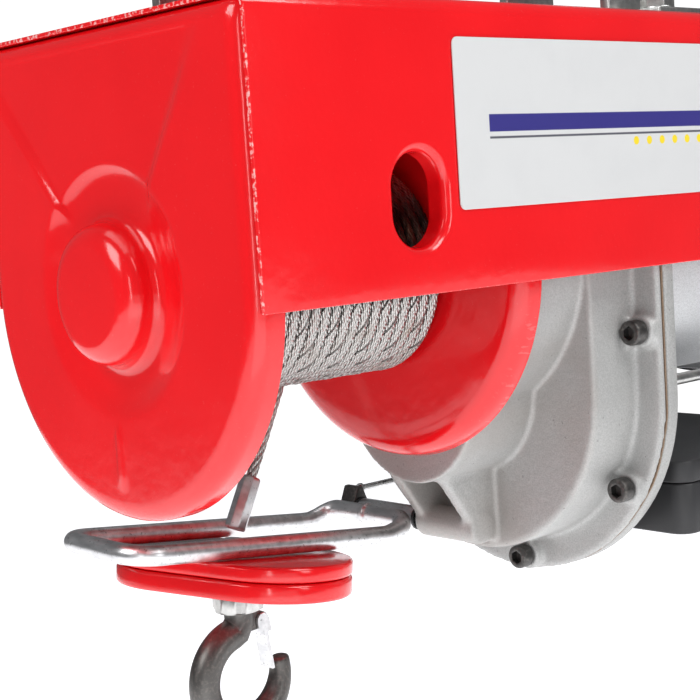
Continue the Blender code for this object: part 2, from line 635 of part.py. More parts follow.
def make_gear_housing():
    body = stadium(HOUSING_HALF, -HOUSING_LOW, 0.0)
    housing = prism("gear_housing", body, HOUSING_FACE, HOUSING_STEP + 1 * MM, CAST)
    flange = prism("housing_flange", flange_outline(), HOUSING_STEP, HOUSING_MATE, CAST)
    hub = turned("housing_hub", tube(HUB_START, HOUSING_FACE + 1 * MM, HUB_RADIUS, 0), CAST)
    lobe = turned("housing_lobe", tube(LOBE_START, HOUSING_FACE + 1 * MM, LOBE_RADIUS, 0), CAST,
                  (0.0, -STAGE_CENTRES), count=32)
    front = SLEEVE_FRONT + WEB_INSET
    back = SLEEVE_BACK - WEB_INSET
    front_web = prism("front_web", web_outline(), front, front + WEB_THICKNESS, CAST, axis="Y")
    back_web = prism("back_web", web_outline(), back - WEB_THICKNESS, back, CAST, axis="Y")
    sleeve = rod_along("lever_sleeve", "Y", SLEEVE_FRONT, SLEEVE_BACK, SLEEVE_RADIUS, (LEVER_X, LEVER_Z), CAST)
    join(housing, flange, hub, lobe, front_web, back_web, sleeve)
    for i, place_2d in enumerate(screw_places()):
        boss = rod_along(f"screw_boss_{i}", "X", HOUSING_STEP - SCREW_BOSS_LENGTH, HOUSING_MATE,
                         SCREW_BOSS, place_2d, CAST, 12)
        join(housing, boss)
    room = prism("gear_room", room_outline(), HOUSING_FACE + HOUSING_WALL, HOUSING_MATE + 5 * MM, CAST)
    main_bore = turned("main_bore", tube(HUB_START + 5 * MM, HOUSING_FACE + 2 * HOUSING_WALL,
                                         MAIN_BEARING_OUTER + BEARING_GAP, 0), CAST, count=32)
    shaft_bore = turned("shaft_bore", tube(HUB_START - 5 * MM, HUB_START + 10 * MM,
                                           MAIN_SHAFT_RADIUS + 1.5 * MM, 0), CAST, count=24)
    small_bore = turned("small_bore", tube(HOUSING_FACE - 12 * MM, HOUSING_FACE + 2 * HOUSING_WALL,
                                           SMALL_BEARING_OUTER + BEARING_GAP, 0), CAST, (0.0, -STAGE_CENTRES), count=24)
    pin_bore = rod_along("pin_bore", "Y", SLEEVE_FRONT + 3.5 * MM, SLEEVE_BACK + 5 * MM,
                         LEVER_PIN_RADIUS + GAP, (LEVER_X, LEVER_Z), CAST)
    cut(housing, room, main_bore, shaft_bore, small_bore, pin_bore)
    for i, place_2d in enumerate(screw_places()):
        hole = rod_along(f"screw_hole_{i}", "X", HOUSING_STEP - 15 * MM, HOUSING_MATE + 5 * MM,
                         SCREW_THREAD + GAP, place_2d, CAST, SCREW_SIDES)
        cut(housing, hole)
    for step in housing.modifiers:
        step.solver = "MANIFOLD"      # many round faces meet nearly flush, and this keeps the casting closed


def flange_outline():
    return stadium(FLANGE_HALF, -FLANGE_LOW, 0.0)


def room_outline():
    return stadium(HOUSING_HALF - HOUSING_WALL, -HOUSING_LOW, 0.0)


def make_gasket():
    start = HOUSING_MATE + GAP
    gasket = prism("housing_gasket", flange_outline(), start, start + GASKET_THICKNESS, GASKET)
    room = prism("gasket_room", room_outline(), start - 5 * MM, start + 5 * MM, GASKET)
    cut(gasket, room)
    for i, place_2d in enumerate(screw_places()):
        hole = rod_along(f"gasket_hole_{i}", "X", start - 5 * MM, start + 5 * MM,
                         SCREW_THREAD + GAP, place_2d, GASKET, SCREW_SIDES)
        cut(gasket, hole)


def make_gear_cover():
    cover = prism("gear_cover", flange_outline(), COVER_PLATE_START, COVER_PLATE_END, CAST)
    boss = turned("cover_boss", tube(LARGE_GEAR_START + GEAR_WIDTH + 1.2 * MM, COVER_PLATE_START + 1 * MM,
                                     SMALL_BEARING_OUTER + 4 * MM, 0), CAST, (0.0, -STAGE_CENTRES), count=24)
    bore = turned("rotor_bore", tube(COVER_PLATE_START - 5 * MM, COVER_PLATE_END + 5 * MM,
                                     ROTOR_SHAFT + 3 * MM, 0), CAST, count=24)
    seat = turned("counter_seat", tube(COVER_PLATE_START - 10 * MM, COVER_PLATE_END - 2.0 * MM,
                                       SMALL_SHAFT + GAP, 0), CAST, (0.0, -STAGE_CENTRES), count=20)
    join(cover, boss)
    cut(cover, bore, seat)
    for i, place_2d in enumerate(screw_places()):
        hole = rod_along(f"cover_hole_{i}", "X", COVER_PLATE_START - 5 * MM, COVER_PLATE_END - 1.2 * MM,
                         SCREW_THREAD + GAP, place_2d, CAST, SCREW_SIDES)
        cut(cover, hole)


def make_screws():
    """Socket head screws whose heads face the drum."""
    seat = HOUSING_STEP - SCREW_BOSS_LENGTH - GAP
    head = seat - SCREW_HEAD_LENGTH
    end = COVER_PLATE_END - 2.0 * MM
    hexagon = 2.9 * MM
    count = SCREW_SIDES
    for i, place_2d in enumerate(lower_places(screw_places())):
        rings = [[place("X", head + 3.0 * MM, *place_2d)],
                 circle_points(hexagon, head + 3.0 * MM, place_2d, count=count),
                 circle_points(hexagon, head, place_2d, count=count),
                 circle_points(SCREW_HEAD - 0.5 * MM, head, place_2d, count=count),
                 circle_points(SCREW_HEAD, head + 0.5 * MM, place_2d, count=count),
                 circle_points(SCREW_HEAD, seat, place_2d, count=count),
                 circle_points(SCREW_THREAD, seat, place_2d, count=count),
                 circle_points(SCREW_THREAD, end, place_2d, count=count),
                 [place("X", end, *place_2d)]]
        ring_stack(f"cover_screw_{i + 1}", rings, DARK, at=place("X", seat, *place_2d))


def make_countershaft():
    centre = (0.0, -STAGE_CENTRES)
    bearing = HOUSING_FACE + HOUSING_WALL - SMALL_BEARING_WIDTH - 1.0 * MM
    make_bearing("countershaft_bearing", bearing, SMALL_BEARING_WIDTH, SMALL_BEARING_OUTER, SMALL_SHAFT + GAP, centre)
    pinion_end = LARGE_GEAR_START - GAP
    end = COVER_PLATE_END - 2.6 * MM
    shaft = [(bearing, 0), (bearing, SMALL_SHAFT), (DRUM_GEAR_START - 0.6 * MM, SMALL_SHAFT),
             (DRUM_GEAR_START - 0.6 * MM, DRUM_PINION_RADIUS - 0.4 * MM), (pinion_end, DRUM_PINION_RADIUS - 0.4 * MM),
             (pinion_end, SMALL_SHAFT), (end, SMALL_SHAFT), (end, 0)]
    turned("countershaft", shaft, STEEL, centre, count=20)
    turned("large_gear", tube(LARGE_GEAR_START, LARGE_GEAR_START + GEAR_WIDTH, LARGE_RADIUS - 0.4 * MM,
                              SMALL_SHAFT + GAP), STEEL, centre)


# ---------------------------------------------------------------- motor
def bell_outline(half):
    return rounded_box(half, -half, half, 16.0 * MM, 4)


def make_motor():
    outer = MOTOR_RADIUS
    bore = outer - MOTOR_WALL
    turned("motor_housing", tube(MOTOR_START, MOTOR_END, outer, bore), CAST)
    inset = 14.0 * MM
    turned("stator_core", tube(MOTOR_START + inset, MOTOR_END - inset, bore - GAP, STATOR_BORE), STEEL)
    front = COVER_PLATE_END + GAP
    rear = MOTOR_END + GAP
    for name, start in (("motor_bell_front", front), ("motor_bell_rear", rear)):
        bell = prism(name, bell_outline(BELL_HALF), start, start + BELL_THICKNESS, CAST)
        hole = turned(name + "_bore", tube(start - 5 * MM, start + 15 * MM,
                                           MOTOR_BEARING_OUTER + BEARING_GAP, 0), CAST, count=24)
        cut(bell, hole)
        for i, (y, z) in enumerate(tie_rod_places()):
            drill = rod_along(f"{name}_hole_{i}", "X", start - 5 * MM, start + 15 * MM,
                              TIE_ROD_RADIUS + GAP, (y, z), CAST, 10)
            cut(bell, drill)
        bearing = name.replace("motor_bell", "rotor_bearing")
        make_bearing(bearing, start + 0.4 * MM, BELL_THICKNESS - 0.8 * MM, MOTOR_BEARING_OUTER, ROTOR_SHAFT + GAP)
    for i, (y, z) in enumerate(lower_places(tie_rod_places())):
        head = REAR_BELL_END + GAP
        profile = [(front, 0), (front, TIE_ROD_RADIUS), (head, TIE_ROD_RADIUS), (head, 2 * TIE_ROD_RADIUS),
                   (head + 3.5 * MM, 2 * TIE_ROD_RADIUS), (head + 3.5 * MM, 0)]
        turned(f"tie_rod_{i + 1}", profile, ZINC, (y, z), count=10)


def lower_places(places):
    """The places below the drum axis; fasteners above it are hidden by the frame."""
    return [(y, z) for y, z in places if z < 0]


def tie_rod_places():
    return [(y * TIE_ROD_PLACE, z * TIE_ROD_PLACE) for y in (-1, 1) for z in (-1, 1)]


def make_rotor():
    inset = 14.0 * MM
    pinion_end = LARGE_GEAR_START + GEAR_WIDTH
    shaft_end = REAR_BELL_END + 30.0 * MM
    profile = [(LARGE_GEAR_START, 0), (LARGE_GEAR_START, PINION_RADIUS - 0.4 * MM),
               (pinion_end, PINION_RADIUS - 0.4 * MM), (pinion_end, ROTOR_SHAFT), (MOTOR_START + inset, ROTOR_SHAFT),
               (MOTOR_START + inset, ROTOR_RADIUS), (MOTOR_END - inset, ROTOR_RADIUS),
               (MOTOR_END - inset, ROTOR_SHAFT), (shaft_end, ROTOR_SHAFT), (shaft_end, 0)]
    turned("rotor", profile, STEEL, count=32)
    coil = REAR_BELL_END + GAP
    turned("brake_coil", tube(coil, coil + 11 * MM, 30 * MM, ROTOR_SHAFT + 4 * MM), DARK, count=28)
    disc = coil + 11.0 * MM + 0.8 * MM
    turned("brake_disc", tube(disc, disc + 4 * MM, 28 * MM, ROTOR_SHAFT + GAP), DARK, count=28)
    fan = disc + 6.5 * MM
    hub = turned("cooling_fan", tube(fan, fan + 12 * MM, 14 * MM, ROTOR_SHAFT + GAP), BLACK, count=24)
    for i in range(7):
        blade = block(f"fan_blade_{i}", (fan + 1 * MM, 12 * MM, -1.1 * MM), (fan + 11 * MM, 48 * MM, 1.1 * MM), BLACK)
        blade.rotation_euler = (2 * math.pi * i / 7, 0.0, 0.0)
        join(hub, blade)


def make_fan_cover():
    start = REAR_BELL_END + GAP
    end = start + FAN_COVER_LENGTH
    outer = TIE_ROD_PLACE - 2 * TIE_ROD_RADIUS - 0.8 * MM + 16 * MM
    wall = 1.5 * MM
    profile = [(start, outer), (end - 8 * MM, outer), (end - 2.4 * MM, outer - 2.4 * MM), (end, outer - 8 * MM),
               (end, 22 * MM), (end - wall, 22 * MM), (end - wall, outer - 8.6 * MM),
               (end - 3.6 * MM, outer - 3.8 * MM), (end - 8.4 * MM, outer - wall), (start, outer - wall)]
    cover = turned("fan_cover", profile, BLACK)
    for i, (y, z) in enumerate(tie_rod_places()):
        notch = rod_along(f"fan_cover_notch_{i}", "X", start - 2 * MM, start + 5 * MM,
                          2 * TIE_ROD_RADIUS + 0.6 * MM, (y, z), BLACK, 12)
        cut(cover, notch)


# ---------------------------------------------------------------- electrical box
def box_outline(inset=0.0):
    half = BOX_LENGTH / 2 - inset
    middle = BOX_START + BOX_LENGTH / 2
    corner = BOX_CORNER - inset
    points = rounded_box(half, -BOX_HALF + inset, BOX_HALF - inset, corner, 4)
    return [(middle + x, y) for x, y in points]


def switch_start():
    return BOX_START + BOX_WALL + SWITCH_INSET


def rod_place():
    return (BAIL_BACK - 4.0 * MM, LEVER_Z + TRIP_ARM_RISE)


def make_electrical_box():
    body = prism("electrical_box", box_outline(), BOX_SEAM + GAP, BOX_TOP, BLACK, axis="Z")
    room = prism("box_room", box_outline(BOX_WALL), BOX_SEAM - 5 * MM, BOX_TOP - BOX_WALL, BLACK, axis="Z")
    cut(body, room)
    lid = prism("electrical_box_lid", box_outline(), BOX_BOTTOM, BOX_SEAM, BLACK, axis="Z")
    lid_room = prism("lid_room", box_outline(BOX_WALL), BOX_BOTTOM + BOX_WALL, BOX_SEAM + 5 * MM, BLACK, axis="Z")
    cut(lid, lid_room)
    rod_hole = rod_along("rod_hole", "X", BOX_START - 5 * MM, BOX_START + BOX_CORNER + 4 * MM,
                         ROD_RADIUS + GAP, rod_place(), BLACK, 12)
    cut(lid, rod_hole)
    neck_x = BOX_START + NECK_PLACE
    neck_top = -MOTOR_RADIUS - GAP
    neck = turned("box_neck", tube(BOX_TOP + GAP, neck_top, NECK_RADIUS, NECK_RADIUS / 2), CAST, (neck_x, 0.0), axis="Z", count=24)
    seat = turned("neck_seat", tube(MOTOR_START, MOTOR_END, MOTOR_RADIUS + GAP, 0), CAST)
    cut(neck, seat)
    end = BOX_START + BOX_LENGTH + GAP
    for i, y in enumerate((-34 * MM, -6 * MM)):
        level = (BOX_TOP + BOX_SEAM) / 2 + 0.2 * MM
        profile = [(end, 4 * MM), (end, 7.6 * MM), (end + 5 * MM, 7.6 * MM), (end + 5 * MM, 6.6 * MM),
                   (end + 14 * MM, 6.0 * MM), (end + 17 * MM, 4.6 * MM), (end + 17 * MM, 4 * MM)]
        turned(f"cable_gland_{i + 1}", profile, BLACK, (y, level), count=16)
    switch = switch_start()
    low = rod_place()[1] - SWITCH_HEIGHT / 2
    block("limit_switch", (switch, BOX_HALF - BOX_WALL - GAP - SWITCH_WIDTH, low),
          (switch + SWITCH_LENGTH, BOX_HALF - BOX_WALL - GAP, low + SWITCH_HEIGHT), DARK)


# ---------------------------------------------------------------- limit lever
def bail_points():
    """Closed loop of the bail: it slopes down to the right and kicks up at the bush."""
    def height(x):
        slope = -97.7 * MM - BAIL_SLOPE * (x - BAIL_LEFT)
        kick = max(0.0, (x - 134 * MM) / (16 * MM))
        return slope + 7.0 * MM * min(kick, 1.0) ** 2
    right = LEVER_X - BAIL_CLEAR - WIRE_RADIUS
    flat = arc((BAIL_LEFT + BAIL_CORNER, BAIL_BACK - BAIL_CORNER), BAIL_CORNER, 180, 90, 5)
    for k in range(1, 7):
        flat.append((BAIL_LEFT + BAIL_CORNER + k * (right - BAIL_LEFT - 1.7 * BAIL_CORNER) / 7, BAIL_BACK))
    small = 0.6 * BAIL_CORNER
    flat += arc((right - small, BAIL_BACK - small), small, 90, 0, 4)
    flat += arc((right - small, BAIL_FRONT + small), small, 0, -90, 4)
    for k in range(1, 7):
        flat.append((right - 0.7 * BAIL_CORNER - k * (right - BAIL_LEFT - 1.7 * BAIL_CORNER) / 7, BAIL_FRONT))
    flat += arc((BAIL_LEFT + BAIL_CORNER, BAIL_FRONT + BAIL_CORNER), BAIL_CORNER, 270, 180, 5)
    return [Vector((x, y, height(x))) for x, y in flat]


def make_lever():
    axis = Vector((LEVER_X, 0.0, LEVER_Z))
    centre = (LEVER_X, LEVER_Z)
    wire("bail", bail_points(), WIRE_RADIUS, ZINC, cyclic=True, resolution=2, at=axis)
    turned("lever_bush", tube(BUSH_START, BUSH_END, BUSH_RADIUS, LEVER_PIN_RADIUS + GAP), ZINC, centre, "Y", 20, at=axis)
    pin_end = rod_place()[0] + TRIP_ARM_WIDTH / 2 + 1.0 * MM
    turned("lever_pin", tube(SLEEVE_FRONT + 4.0 * MM, pin_end, LEVER_PIN_RADIUS, 0), STEEL, centre, "Y", 16, at=axis)
    low = BUSH_END + GAP
    high = rod_place()[0] + TRIP_ARM_WIDTH / 2
    root = TRIP_ARM_ROOT
    tip = TRIP_ARM_TIP
    tip_z = LEVER_Z + TRIP_ARM_RISE + TRIP_ARM_OVER
    outline = [(LEVER_X - root, LEVER_Z)] + arc(centre, root, 200, 340, 6)
    outline += [(LEVER_X + root, LEVER_Z), (LEVER_X + tip, tip_z), (LEVER_X - tip, tip_z)]
    arm = prism("trip_arm", outline, low, high, DARK, axis="Y", at=axis)
    bore = rod_along("trip_arm_bore", "Y", low - 5 * MM, high + 5 * MM, LEVER_PIN_RADIUS + GAP, centre, DARK, 16)
    cut(arm, bore)


def make_switch_rod():
    head = LEVER_X + ROD_HEAD
    inside = switch_start() - SWITCH_TRAVEL
    profile = [(head, 0), (head, 2.4 * MM), (head + 2.2 * MM, 2.4 * MM), (head + 2.2 * MM, ROD_RADIUS),
               (inside, ROD_RADIUS), (inside, 0)]
    turned("switch_rod", profile, STEEL, rod_place(), count=10)


# ---------------------------------------------------------------- hook
def stop_outline():
    straight = (STOP_LENGTH - STOP_WIDTH) / 2
    turn = math.radians(STOP_TURN)
    flat = arc((straight, 0.0), STOP_WIDTH / 2, -90, 90, 9) + arc((-straight, 0.0), STOP_WIDTH / 2, 90, 270, 9)
    return [(HOOK_X + a * math.cos(turn) - b * math.sin(turn), HOOK_Y + a * math.sin(turn) + b * math.cos(turn))
            for a, b in flat]


def make_hook():
    centre = (HOOK_X, HOOK_Y)
    seat = Vector((HOOK_X, HOOK_Y, STOP_TOP))
    tilt = (0.0, math.atan(BAIL_SLOPE), 0.0)
    upper_low = STOP_TOP - STOP_UPPER
    lower_top = upper_low - GAP
    lower_low = lower_top - STOP_LOWER
    for name, low, high in (("stop_plate_upper", upper_low, STOP_TOP), ("stop_plate_lower", lower_low, lower_top)):
        plate = prism(name, stop_outline(), low, high, RED, axis="Z", at=seat)
        plate.rotation_euler = tilt
        bore = turned(name + "_bore", tube(low - 5 * MM, high + 5 * MM, STOP_BORE, 0), RED, centre, "Z", 20)
        cut(plate, bore)
    collar = STOP_TOP + GAP
    profile = [(collar, 0), (collar, 10 * MM), (collar + 2.4 * MM, 10 * MM), (collar + 3.2 * MM, 8.4 * MM),
               (collar + 3.6 * MM, 4.2 * MM), (collar + 4.8 * MM, 4.0 * MM), (collar + 4.8 * MM, 0)]
    rope_collar = turned("rope_collar", profile, ZINC, centre, "Z", 20, at=seat)
    rope_collar.rotation_euler = tilt
    top, direction = rope_end()
    turn = Vector((0.0, 0.0, 1.0)).rotation_difference(direction).to_matrix().to_4x4()
    rings = []
    for along, radius in ((0.0, FERRULE_RADIUS - 0.8 * MM), (0.9 * MM, FERRULE_RADIUS),
                          (FERRULE_LENGTH - 0.9 * MM, FERRULE_RADIUS), (FERRULE_LENGTH, FERRULE_RADIUS - 0.8 * MM)):
        rings.append([top + turn @ point for point in circle_points(radius, along, axis="Z", count=14)])
    ring_stack("rope_ferrule", rings, ZINC, at=top)
    make_hook_body(lower_low)


def planar_sweep(name, points, radii, material, count, at):
    """A round bar of changing thickness along points of one upright X-Z plane."""
    rings = []
    for i, point in enumerate(points):
        ahead = points[min(i + 1, len(points) - 1)] - points[max(i - 1, 0)]
        normal = Vector((ahead.z, 0.0, -ahead.x)).normalized()
        ring = []
        for k in range(count):
            turn = 2 * math.pi * k / count
            offset = normal * math.cos(turn) + Vector((0.0, math.sin(turn), 0.0))
            ring.append(point + offset * radii[i])
        rings.append(ring)
    return ring_stack(name, rings, material, at=at)


def make_hook_body(under):
    """Forged hook: shank, then a bowl drawn as an arc about its centre, and a tapered tip."""
    nut_top = under - GAP - NUT_RADIUS * BAIL_SLOPE
    nut_low = nut_top - NUT_HEIGHT
    axis = (HOOK_X, HOOK_Y)
    nut = turned("hook_nut", tube(nut_low, nut_top, NUT_RADIUS, 0), STEEL, axis, "Z", 6)
    bore = turned("hook_nut_bore", tube(nut_low - 5 * MM, nut_top + 5 * MM, SHANK_RADIUS + GAP, 0),
                  STEEL, axis, "Z", SMALL_SEGMENTS)
    cut(nut, bore)
    radius = HOOK_BOWL + HOOK_WIRE
    neck = nut_low - HOOK_NECK
    centre_z = neck - radius
    points = [Vector((HOOK_X, HOOK_Y, level)) for level in (STOP_TOP - 1.6 * MM, nut_low - 1.0 * MM, neck + 3.0 * MM)]
    radii = [SHANK_RADIUS] * len(points)
    for degrees in range(HOOK_SWEEP[0], HOOK_SWEEP[1] + 1, HOOK_STEP):
        turn = math.radians(degrees)
        points.append(Vector((HOOK_X + radius * math.cos(turn), HOOK_Y, centre_z + radius * math.sin(turn))))
        fade = max(0.0, (degrees - HOOK_TAPER) / (HOOK_SWEEP[1] - HOOK_TAPER))
        radii.append(HOOK_WIRE + (HOOK_TIP - HOOK_WIRE) * fade)
    origin = Vector((HOOK_X, HOOK_Y, 0.0))
    hook = planar_sweep("hook", points, radii, DARK, 12, origin)
    tip = points[-1]
    make_latch(hook, Vector((HOOK_X + SHANK_RADIUS + LATCH_EYE, HOOK_Y, neck + LATCH_RISE)), tip)


def make_latch(hook, pivot, tip):
    """Spring latch: two cheeks and a rivet on the hook's ear, and a flap down inside the tip."""
    ear = arc((pivot.x, pivot.z), LATCH_EYE, -90, 90, 6)
    ear += [(HOOK_X, pivot.z + LATCH_EYE), (HOOK_X, pivot.z - LATCH_EYE)]
    lug = prism("hook_ear", ear, HOOK_Y - LATCH_EAR / 2, HOOK_Y + LATCH_EAR / 2, DARK, axis="Y")
    hole = rod_along("hook_ear_hole", "Y", HOOK_Y - 20 * MM, HOOK_Y + 20 * MM, LATCH_RIVET + GAP,
                     (pivot.x, pivot.z), DARK, 12)
    join(hook, lug)
    cut(hook, hole)
    reach = LATCH_EAR / 2 + GAP
    outer = reach + LATCH_SHEET
    foot = Vector((tip.x - HOOK_TIP - LATCH_SHEET - 4 * GAP, HOOK_Y, tip.z - HOOK_TIP / 2))
    shift = foot - pivot
    length = shift.length
    lean = math.atan2(-shift.x, -shift.z)
    eye = LATCH_EYE - 0.4 * MM
    cheek = [(-eye, 0.0)] + arc((0.0, 0.0), eye, 150, 30, 3) + [(eye, 0.0)]
    cheek += [(eye, -LATCH_EYE - 2.0 * MM), (-eye, -LATCH_EYE - 2.0 * MM)]
    flap = [(0.0, -LATCH_EYE - 0.6 * MM), (LATCH_SHEET, -LATCH_EYE - 0.6 * MM), (LATCH_SHEET, -length), (0.0, -length)]
    latch = prism("hook_latch", flap, -outer, outer, ZINC, axis="Y")
    for i, (low, high) in enumerate(((-outer, -reach), (reach, outer))):
        join(latch, prism(f"latch_cheek_{i}", cheek, low, high, ZINC, axis="Y"))
    join(latch, rod_along("latch_rivet", "Y", -outer - 0.8 * MM, outer + 0.8 * MM, LATCH_RIVET, (0.0, 0.0), ZINC, 12))
    for piece in [latch] + [step.object for step in latch.modifiers]:
        piece.location = pivot
        piece.rotation_euler = (0.0, lean, 0.0)


# ---------------------------------------------------------------- hanging clamps
def bolt_offset():
    return CLAMP_INNER + CLAMP_SHEET + CLAMP_FOOT / 2


def clamp_outline():
    """Inverted U with two feet, seen along the drum axis."""
    base = FRAME_RISE + GAP
    sheet = CLAMP_SHEET
    inner = CLAMP_INNER
    outer = inner + sheet
    foot = outer + CLAMP_FOOT
    top = base + CLAMP_HEIGHT
    bend = 8.0 * MM
    outline = [(foot, base), (foot, base + sheet), (outer, base + sheet)]
    outline += arc((outer - bend, top + sheet - bend), bend, 0, 90, 4)
    outline += arc((bend - outer, top + sheet - bend), bend, 90, 180, 4)
    outline += [(-outer, base + sheet), (-foot, base + sheet), (-foot, base), (-inner, base)]
    outline += arc((bend - outer, top + sheet - bend), bend - sheet, 180, 90, 4)
    outline += arc((outer - bend, top + sheet - bend), bend - sheet, 90, 0, 4)
    outline += [(inner, base)]
    return outline


def make_clamps():
    base = FRAME_RISE + GAP
    for i, x in enumerate(CLAMP_PLACES):
        clamp = prism(f"hanging_clamp_{i + 1}", clamp_outline(), x - CLAMP_WIDTH / 2, x + CLAMP_WIDTH / 2, ZINC)
        for j, side in enumerate((-1, 1)):
            centre = (x, side * bolt_offset())
            hole = rod_along(f"clamp_hole_{i}{j}", "Z", base - 5 * MM, base + 15 * MM,
                             BOLT_RADIUS + GAP, centre, ZINC, 14)
            cut(clamp, hole)
            seat = base + CLAMP_SHEET + GAP
            low = FRAME_RISE - FRAME_SHEET - 6.0 * MM
            profile = [(low, 0), (low, BOLT_RADIUS), (seat, BOLT_RADIUS), (seat, BOLT_HEAD * 1.1),
                       (seat + BOLT_HEAD_LENGTH, BOLT_HEAD * 1.1), (seat + BOLT_HEAD_LENGTH, 0)]
            turned(f"clamp_bolt_{2 * i + j + 1}", profile, ZINC, centre, "Z", 12)


make_frame()
make_name_plate()
make_end_cover()
make_bearing("end_bearing", END_BEARING_START, END_BEARING_WIDTH, END_BEARING_OUTER, SHAFT_RADIUS + GAP)
make_bearing("main_bearing", MAIN_BEARING_START, MAIN_BEARING_WIDTH, MAIN_BEARING_OUTER, MAIN_SHAFT_RADIUS + GAP)
make_drum()
make_rope_fall()
make_gear_housing()
make_gasket()
make_gear_cover()
make_screws()
make_countershaft()
make_motor()
make_rotor()
make_fan_cover()
make_electrical_box()
make_lever()
make_switch_rod()
make_hook()
make_clamps()
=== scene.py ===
"""Electric wire rope hoist: the finished surfaces of the frame, drum, rope, gearbox, motor and lever.

Shapes are made in the hoist's own millimetres: X along the drum axis from the end cover to the
motor, Z up, zero on the drum axis at the cover. settle() puts a finished shape in its place.
"""
import math
import random

import bmesh
import bpy
from mathutils import Matrix, Vector


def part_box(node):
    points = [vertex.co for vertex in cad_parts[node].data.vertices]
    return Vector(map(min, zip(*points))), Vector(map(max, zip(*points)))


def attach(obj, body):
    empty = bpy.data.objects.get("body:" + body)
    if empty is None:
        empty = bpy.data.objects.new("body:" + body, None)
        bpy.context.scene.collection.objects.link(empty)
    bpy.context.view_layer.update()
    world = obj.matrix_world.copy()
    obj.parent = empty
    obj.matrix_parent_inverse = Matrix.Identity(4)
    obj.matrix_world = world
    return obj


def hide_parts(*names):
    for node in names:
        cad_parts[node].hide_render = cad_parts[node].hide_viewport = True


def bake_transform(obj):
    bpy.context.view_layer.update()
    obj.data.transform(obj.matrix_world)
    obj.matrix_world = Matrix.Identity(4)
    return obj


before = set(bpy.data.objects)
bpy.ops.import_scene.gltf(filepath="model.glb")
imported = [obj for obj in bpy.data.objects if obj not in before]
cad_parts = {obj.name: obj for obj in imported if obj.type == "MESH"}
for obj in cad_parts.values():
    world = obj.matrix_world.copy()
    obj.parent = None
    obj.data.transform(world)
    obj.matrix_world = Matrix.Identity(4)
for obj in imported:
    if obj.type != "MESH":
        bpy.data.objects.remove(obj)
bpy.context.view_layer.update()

MM = 0.001

# ---------------------------------------------------------------- where things are
LEFT_OVERHANG = 2.2               # the channel starts this far before the zero plane


def frame_datum():
    channel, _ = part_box("frame_channel")
    low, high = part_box("drum_flange_right")
    return Vector((channel.x + LEFT_OVERHANG * MM, 0.0, (low.z + high.z) / 2))


DATUM = frame_datum()
PLACE = Matrix.Translation(DATUM) @ Matrix.Scale(MM, 4)


def span(node):
    """A node's lowest and highest corner in the hoist's millimetres."""
    low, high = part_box(node)
    return (low - DATUM) / MM, (high - DATUM) / MM


# ---------------------------------------------------------------- camera, floor and light
CAMERA_PLACE = (-290.2, -444.6, 27.4)
CAMERA_AZIMUTH = -41.52
CAMERA_RISE = 5.66
CAMERA_ROLL = -3.70
CAMERA_LENS = 78.88
FLOOR_DROP = 0.62                 # metres below the origin
FLOOR_HALF = 2.0


def make_camera():
    azimuth, rise, roll = (math.radians(a) for a in (CAMERA_AZIMUTH, CAMERA_RISE, CAMERA_ROLL))
    back = Vector((math.sin(azimuth) * math.cos(rise), -math.cos(azimuth) * math.cos(rise), math.sin(rise)))
    right = (-back).cross(Vector((0.0, 0.0, 1.0))).normalized()
    up = right.cross(-back)
    tilted_right = right * math.cos(roll) + up * math.sin(roll)
    tilted_up = up * math.cos(roll) - right * math.sin(roll)
    camera = bpy.data.objects.new("camera", bpy.data.cameras.new("camera"))
    camera.data.lens = CAMERA_LENS
    camera.data.clip_start = 0.01
    camera.matrix_world = Matrix((tilted_right, tilted_up, back)).transposed().to_4x4()
    camera.location = PLACE @ Vector(CAMERA_PLACE)
    bpy.context.scene.collection.objects.link(camera)
    bpy.context.scene.camera = camera


def add_softbox(name, place, aim, size, power):
    light = bpy.data.lights.new(name, "AREA")
    light.shape = "RECTANGLE"
    light.size, light.size_y = size
    light.energy = power
    lamp = bpy.data.objects.new(name, light)
    lamp.location = place
    lamp.rotation_euler = (Vector(aim) - Vector(place)).to_track_quat("-Z", "Y").to_euler()
    bpy.context.scene.collection.objects.link(lamp)


def make_studio():
    """Soft lamps kept off the level of the flat panels' reflections, and two narrow ones for highlights."""
    bpy.context.scene.view_settings.view_transform = "Standard"
    add_softbox("key_softbox", (0.3, -1.3, 1.25), (0.0, 0.0, -0.1), (0.9, 0.7), 17.0)
    add_softbox("cover_softbox", (-1.5, 0.1, 1.0), (-0.1, 0.0, -0.1), (0.9, 0.9), 17.0)
    add_softbox("top_softbox", (0.1, 0.0, 1.6), (0.0, 0.0, 0.0), (1.6, 1.6), 14.0)
    add_softbox("under_bounce", (-0.5, -0.7, -0.58), (-0.05, 0.0, -0.1), (1.0, 1.0), 2.5)
    add_softbox("window_softbox", (0.15, -1.7, 0.12), (-0.1, 0.0, -0.1), (0.34, 0.5), 3.2)
    add_softbox("strip_softbox", (-1.25, -1.15, 0.1), (-0.1, 0.0, -0.1), (0.10, 0.9), 2.0)
    world = bpy.data.worlds.new("studio")
    bpy.context.scene.world = world
    world.use_nodes = True
    links = world.node_tree.links
    background = world.node_tree.nodes["Background"]
    background.inputs["Color"].default_value = (0.95, 0.97, 1.0, 1.0)
    background.inputs["Strength"].default_value = 0.15
    white = world.node_tree.nodes.new("ShaderNodeBackground")
    white.inputs["Color"].default_value = (1.0, 1.0, 1.0, 1.0)
    white.inputs["Strength"].default_value = 1.1
    seen = world.node_tree.nodes.new("ShaderNodeLightPath")
    blend = world.node_tree.nodes.new("ShaderNodeMixShader")
    links.new(seen.outputs["Is Camera Ray"], blend.inputs[0])
    links.new(background.outputs[0], blend.inputs[1])
    links.new(white.outputs[0], blend.inputs[2])
    links.new(blend.outputs[0], world.node_tree.nodes["World Output"].inputs["Surface"])


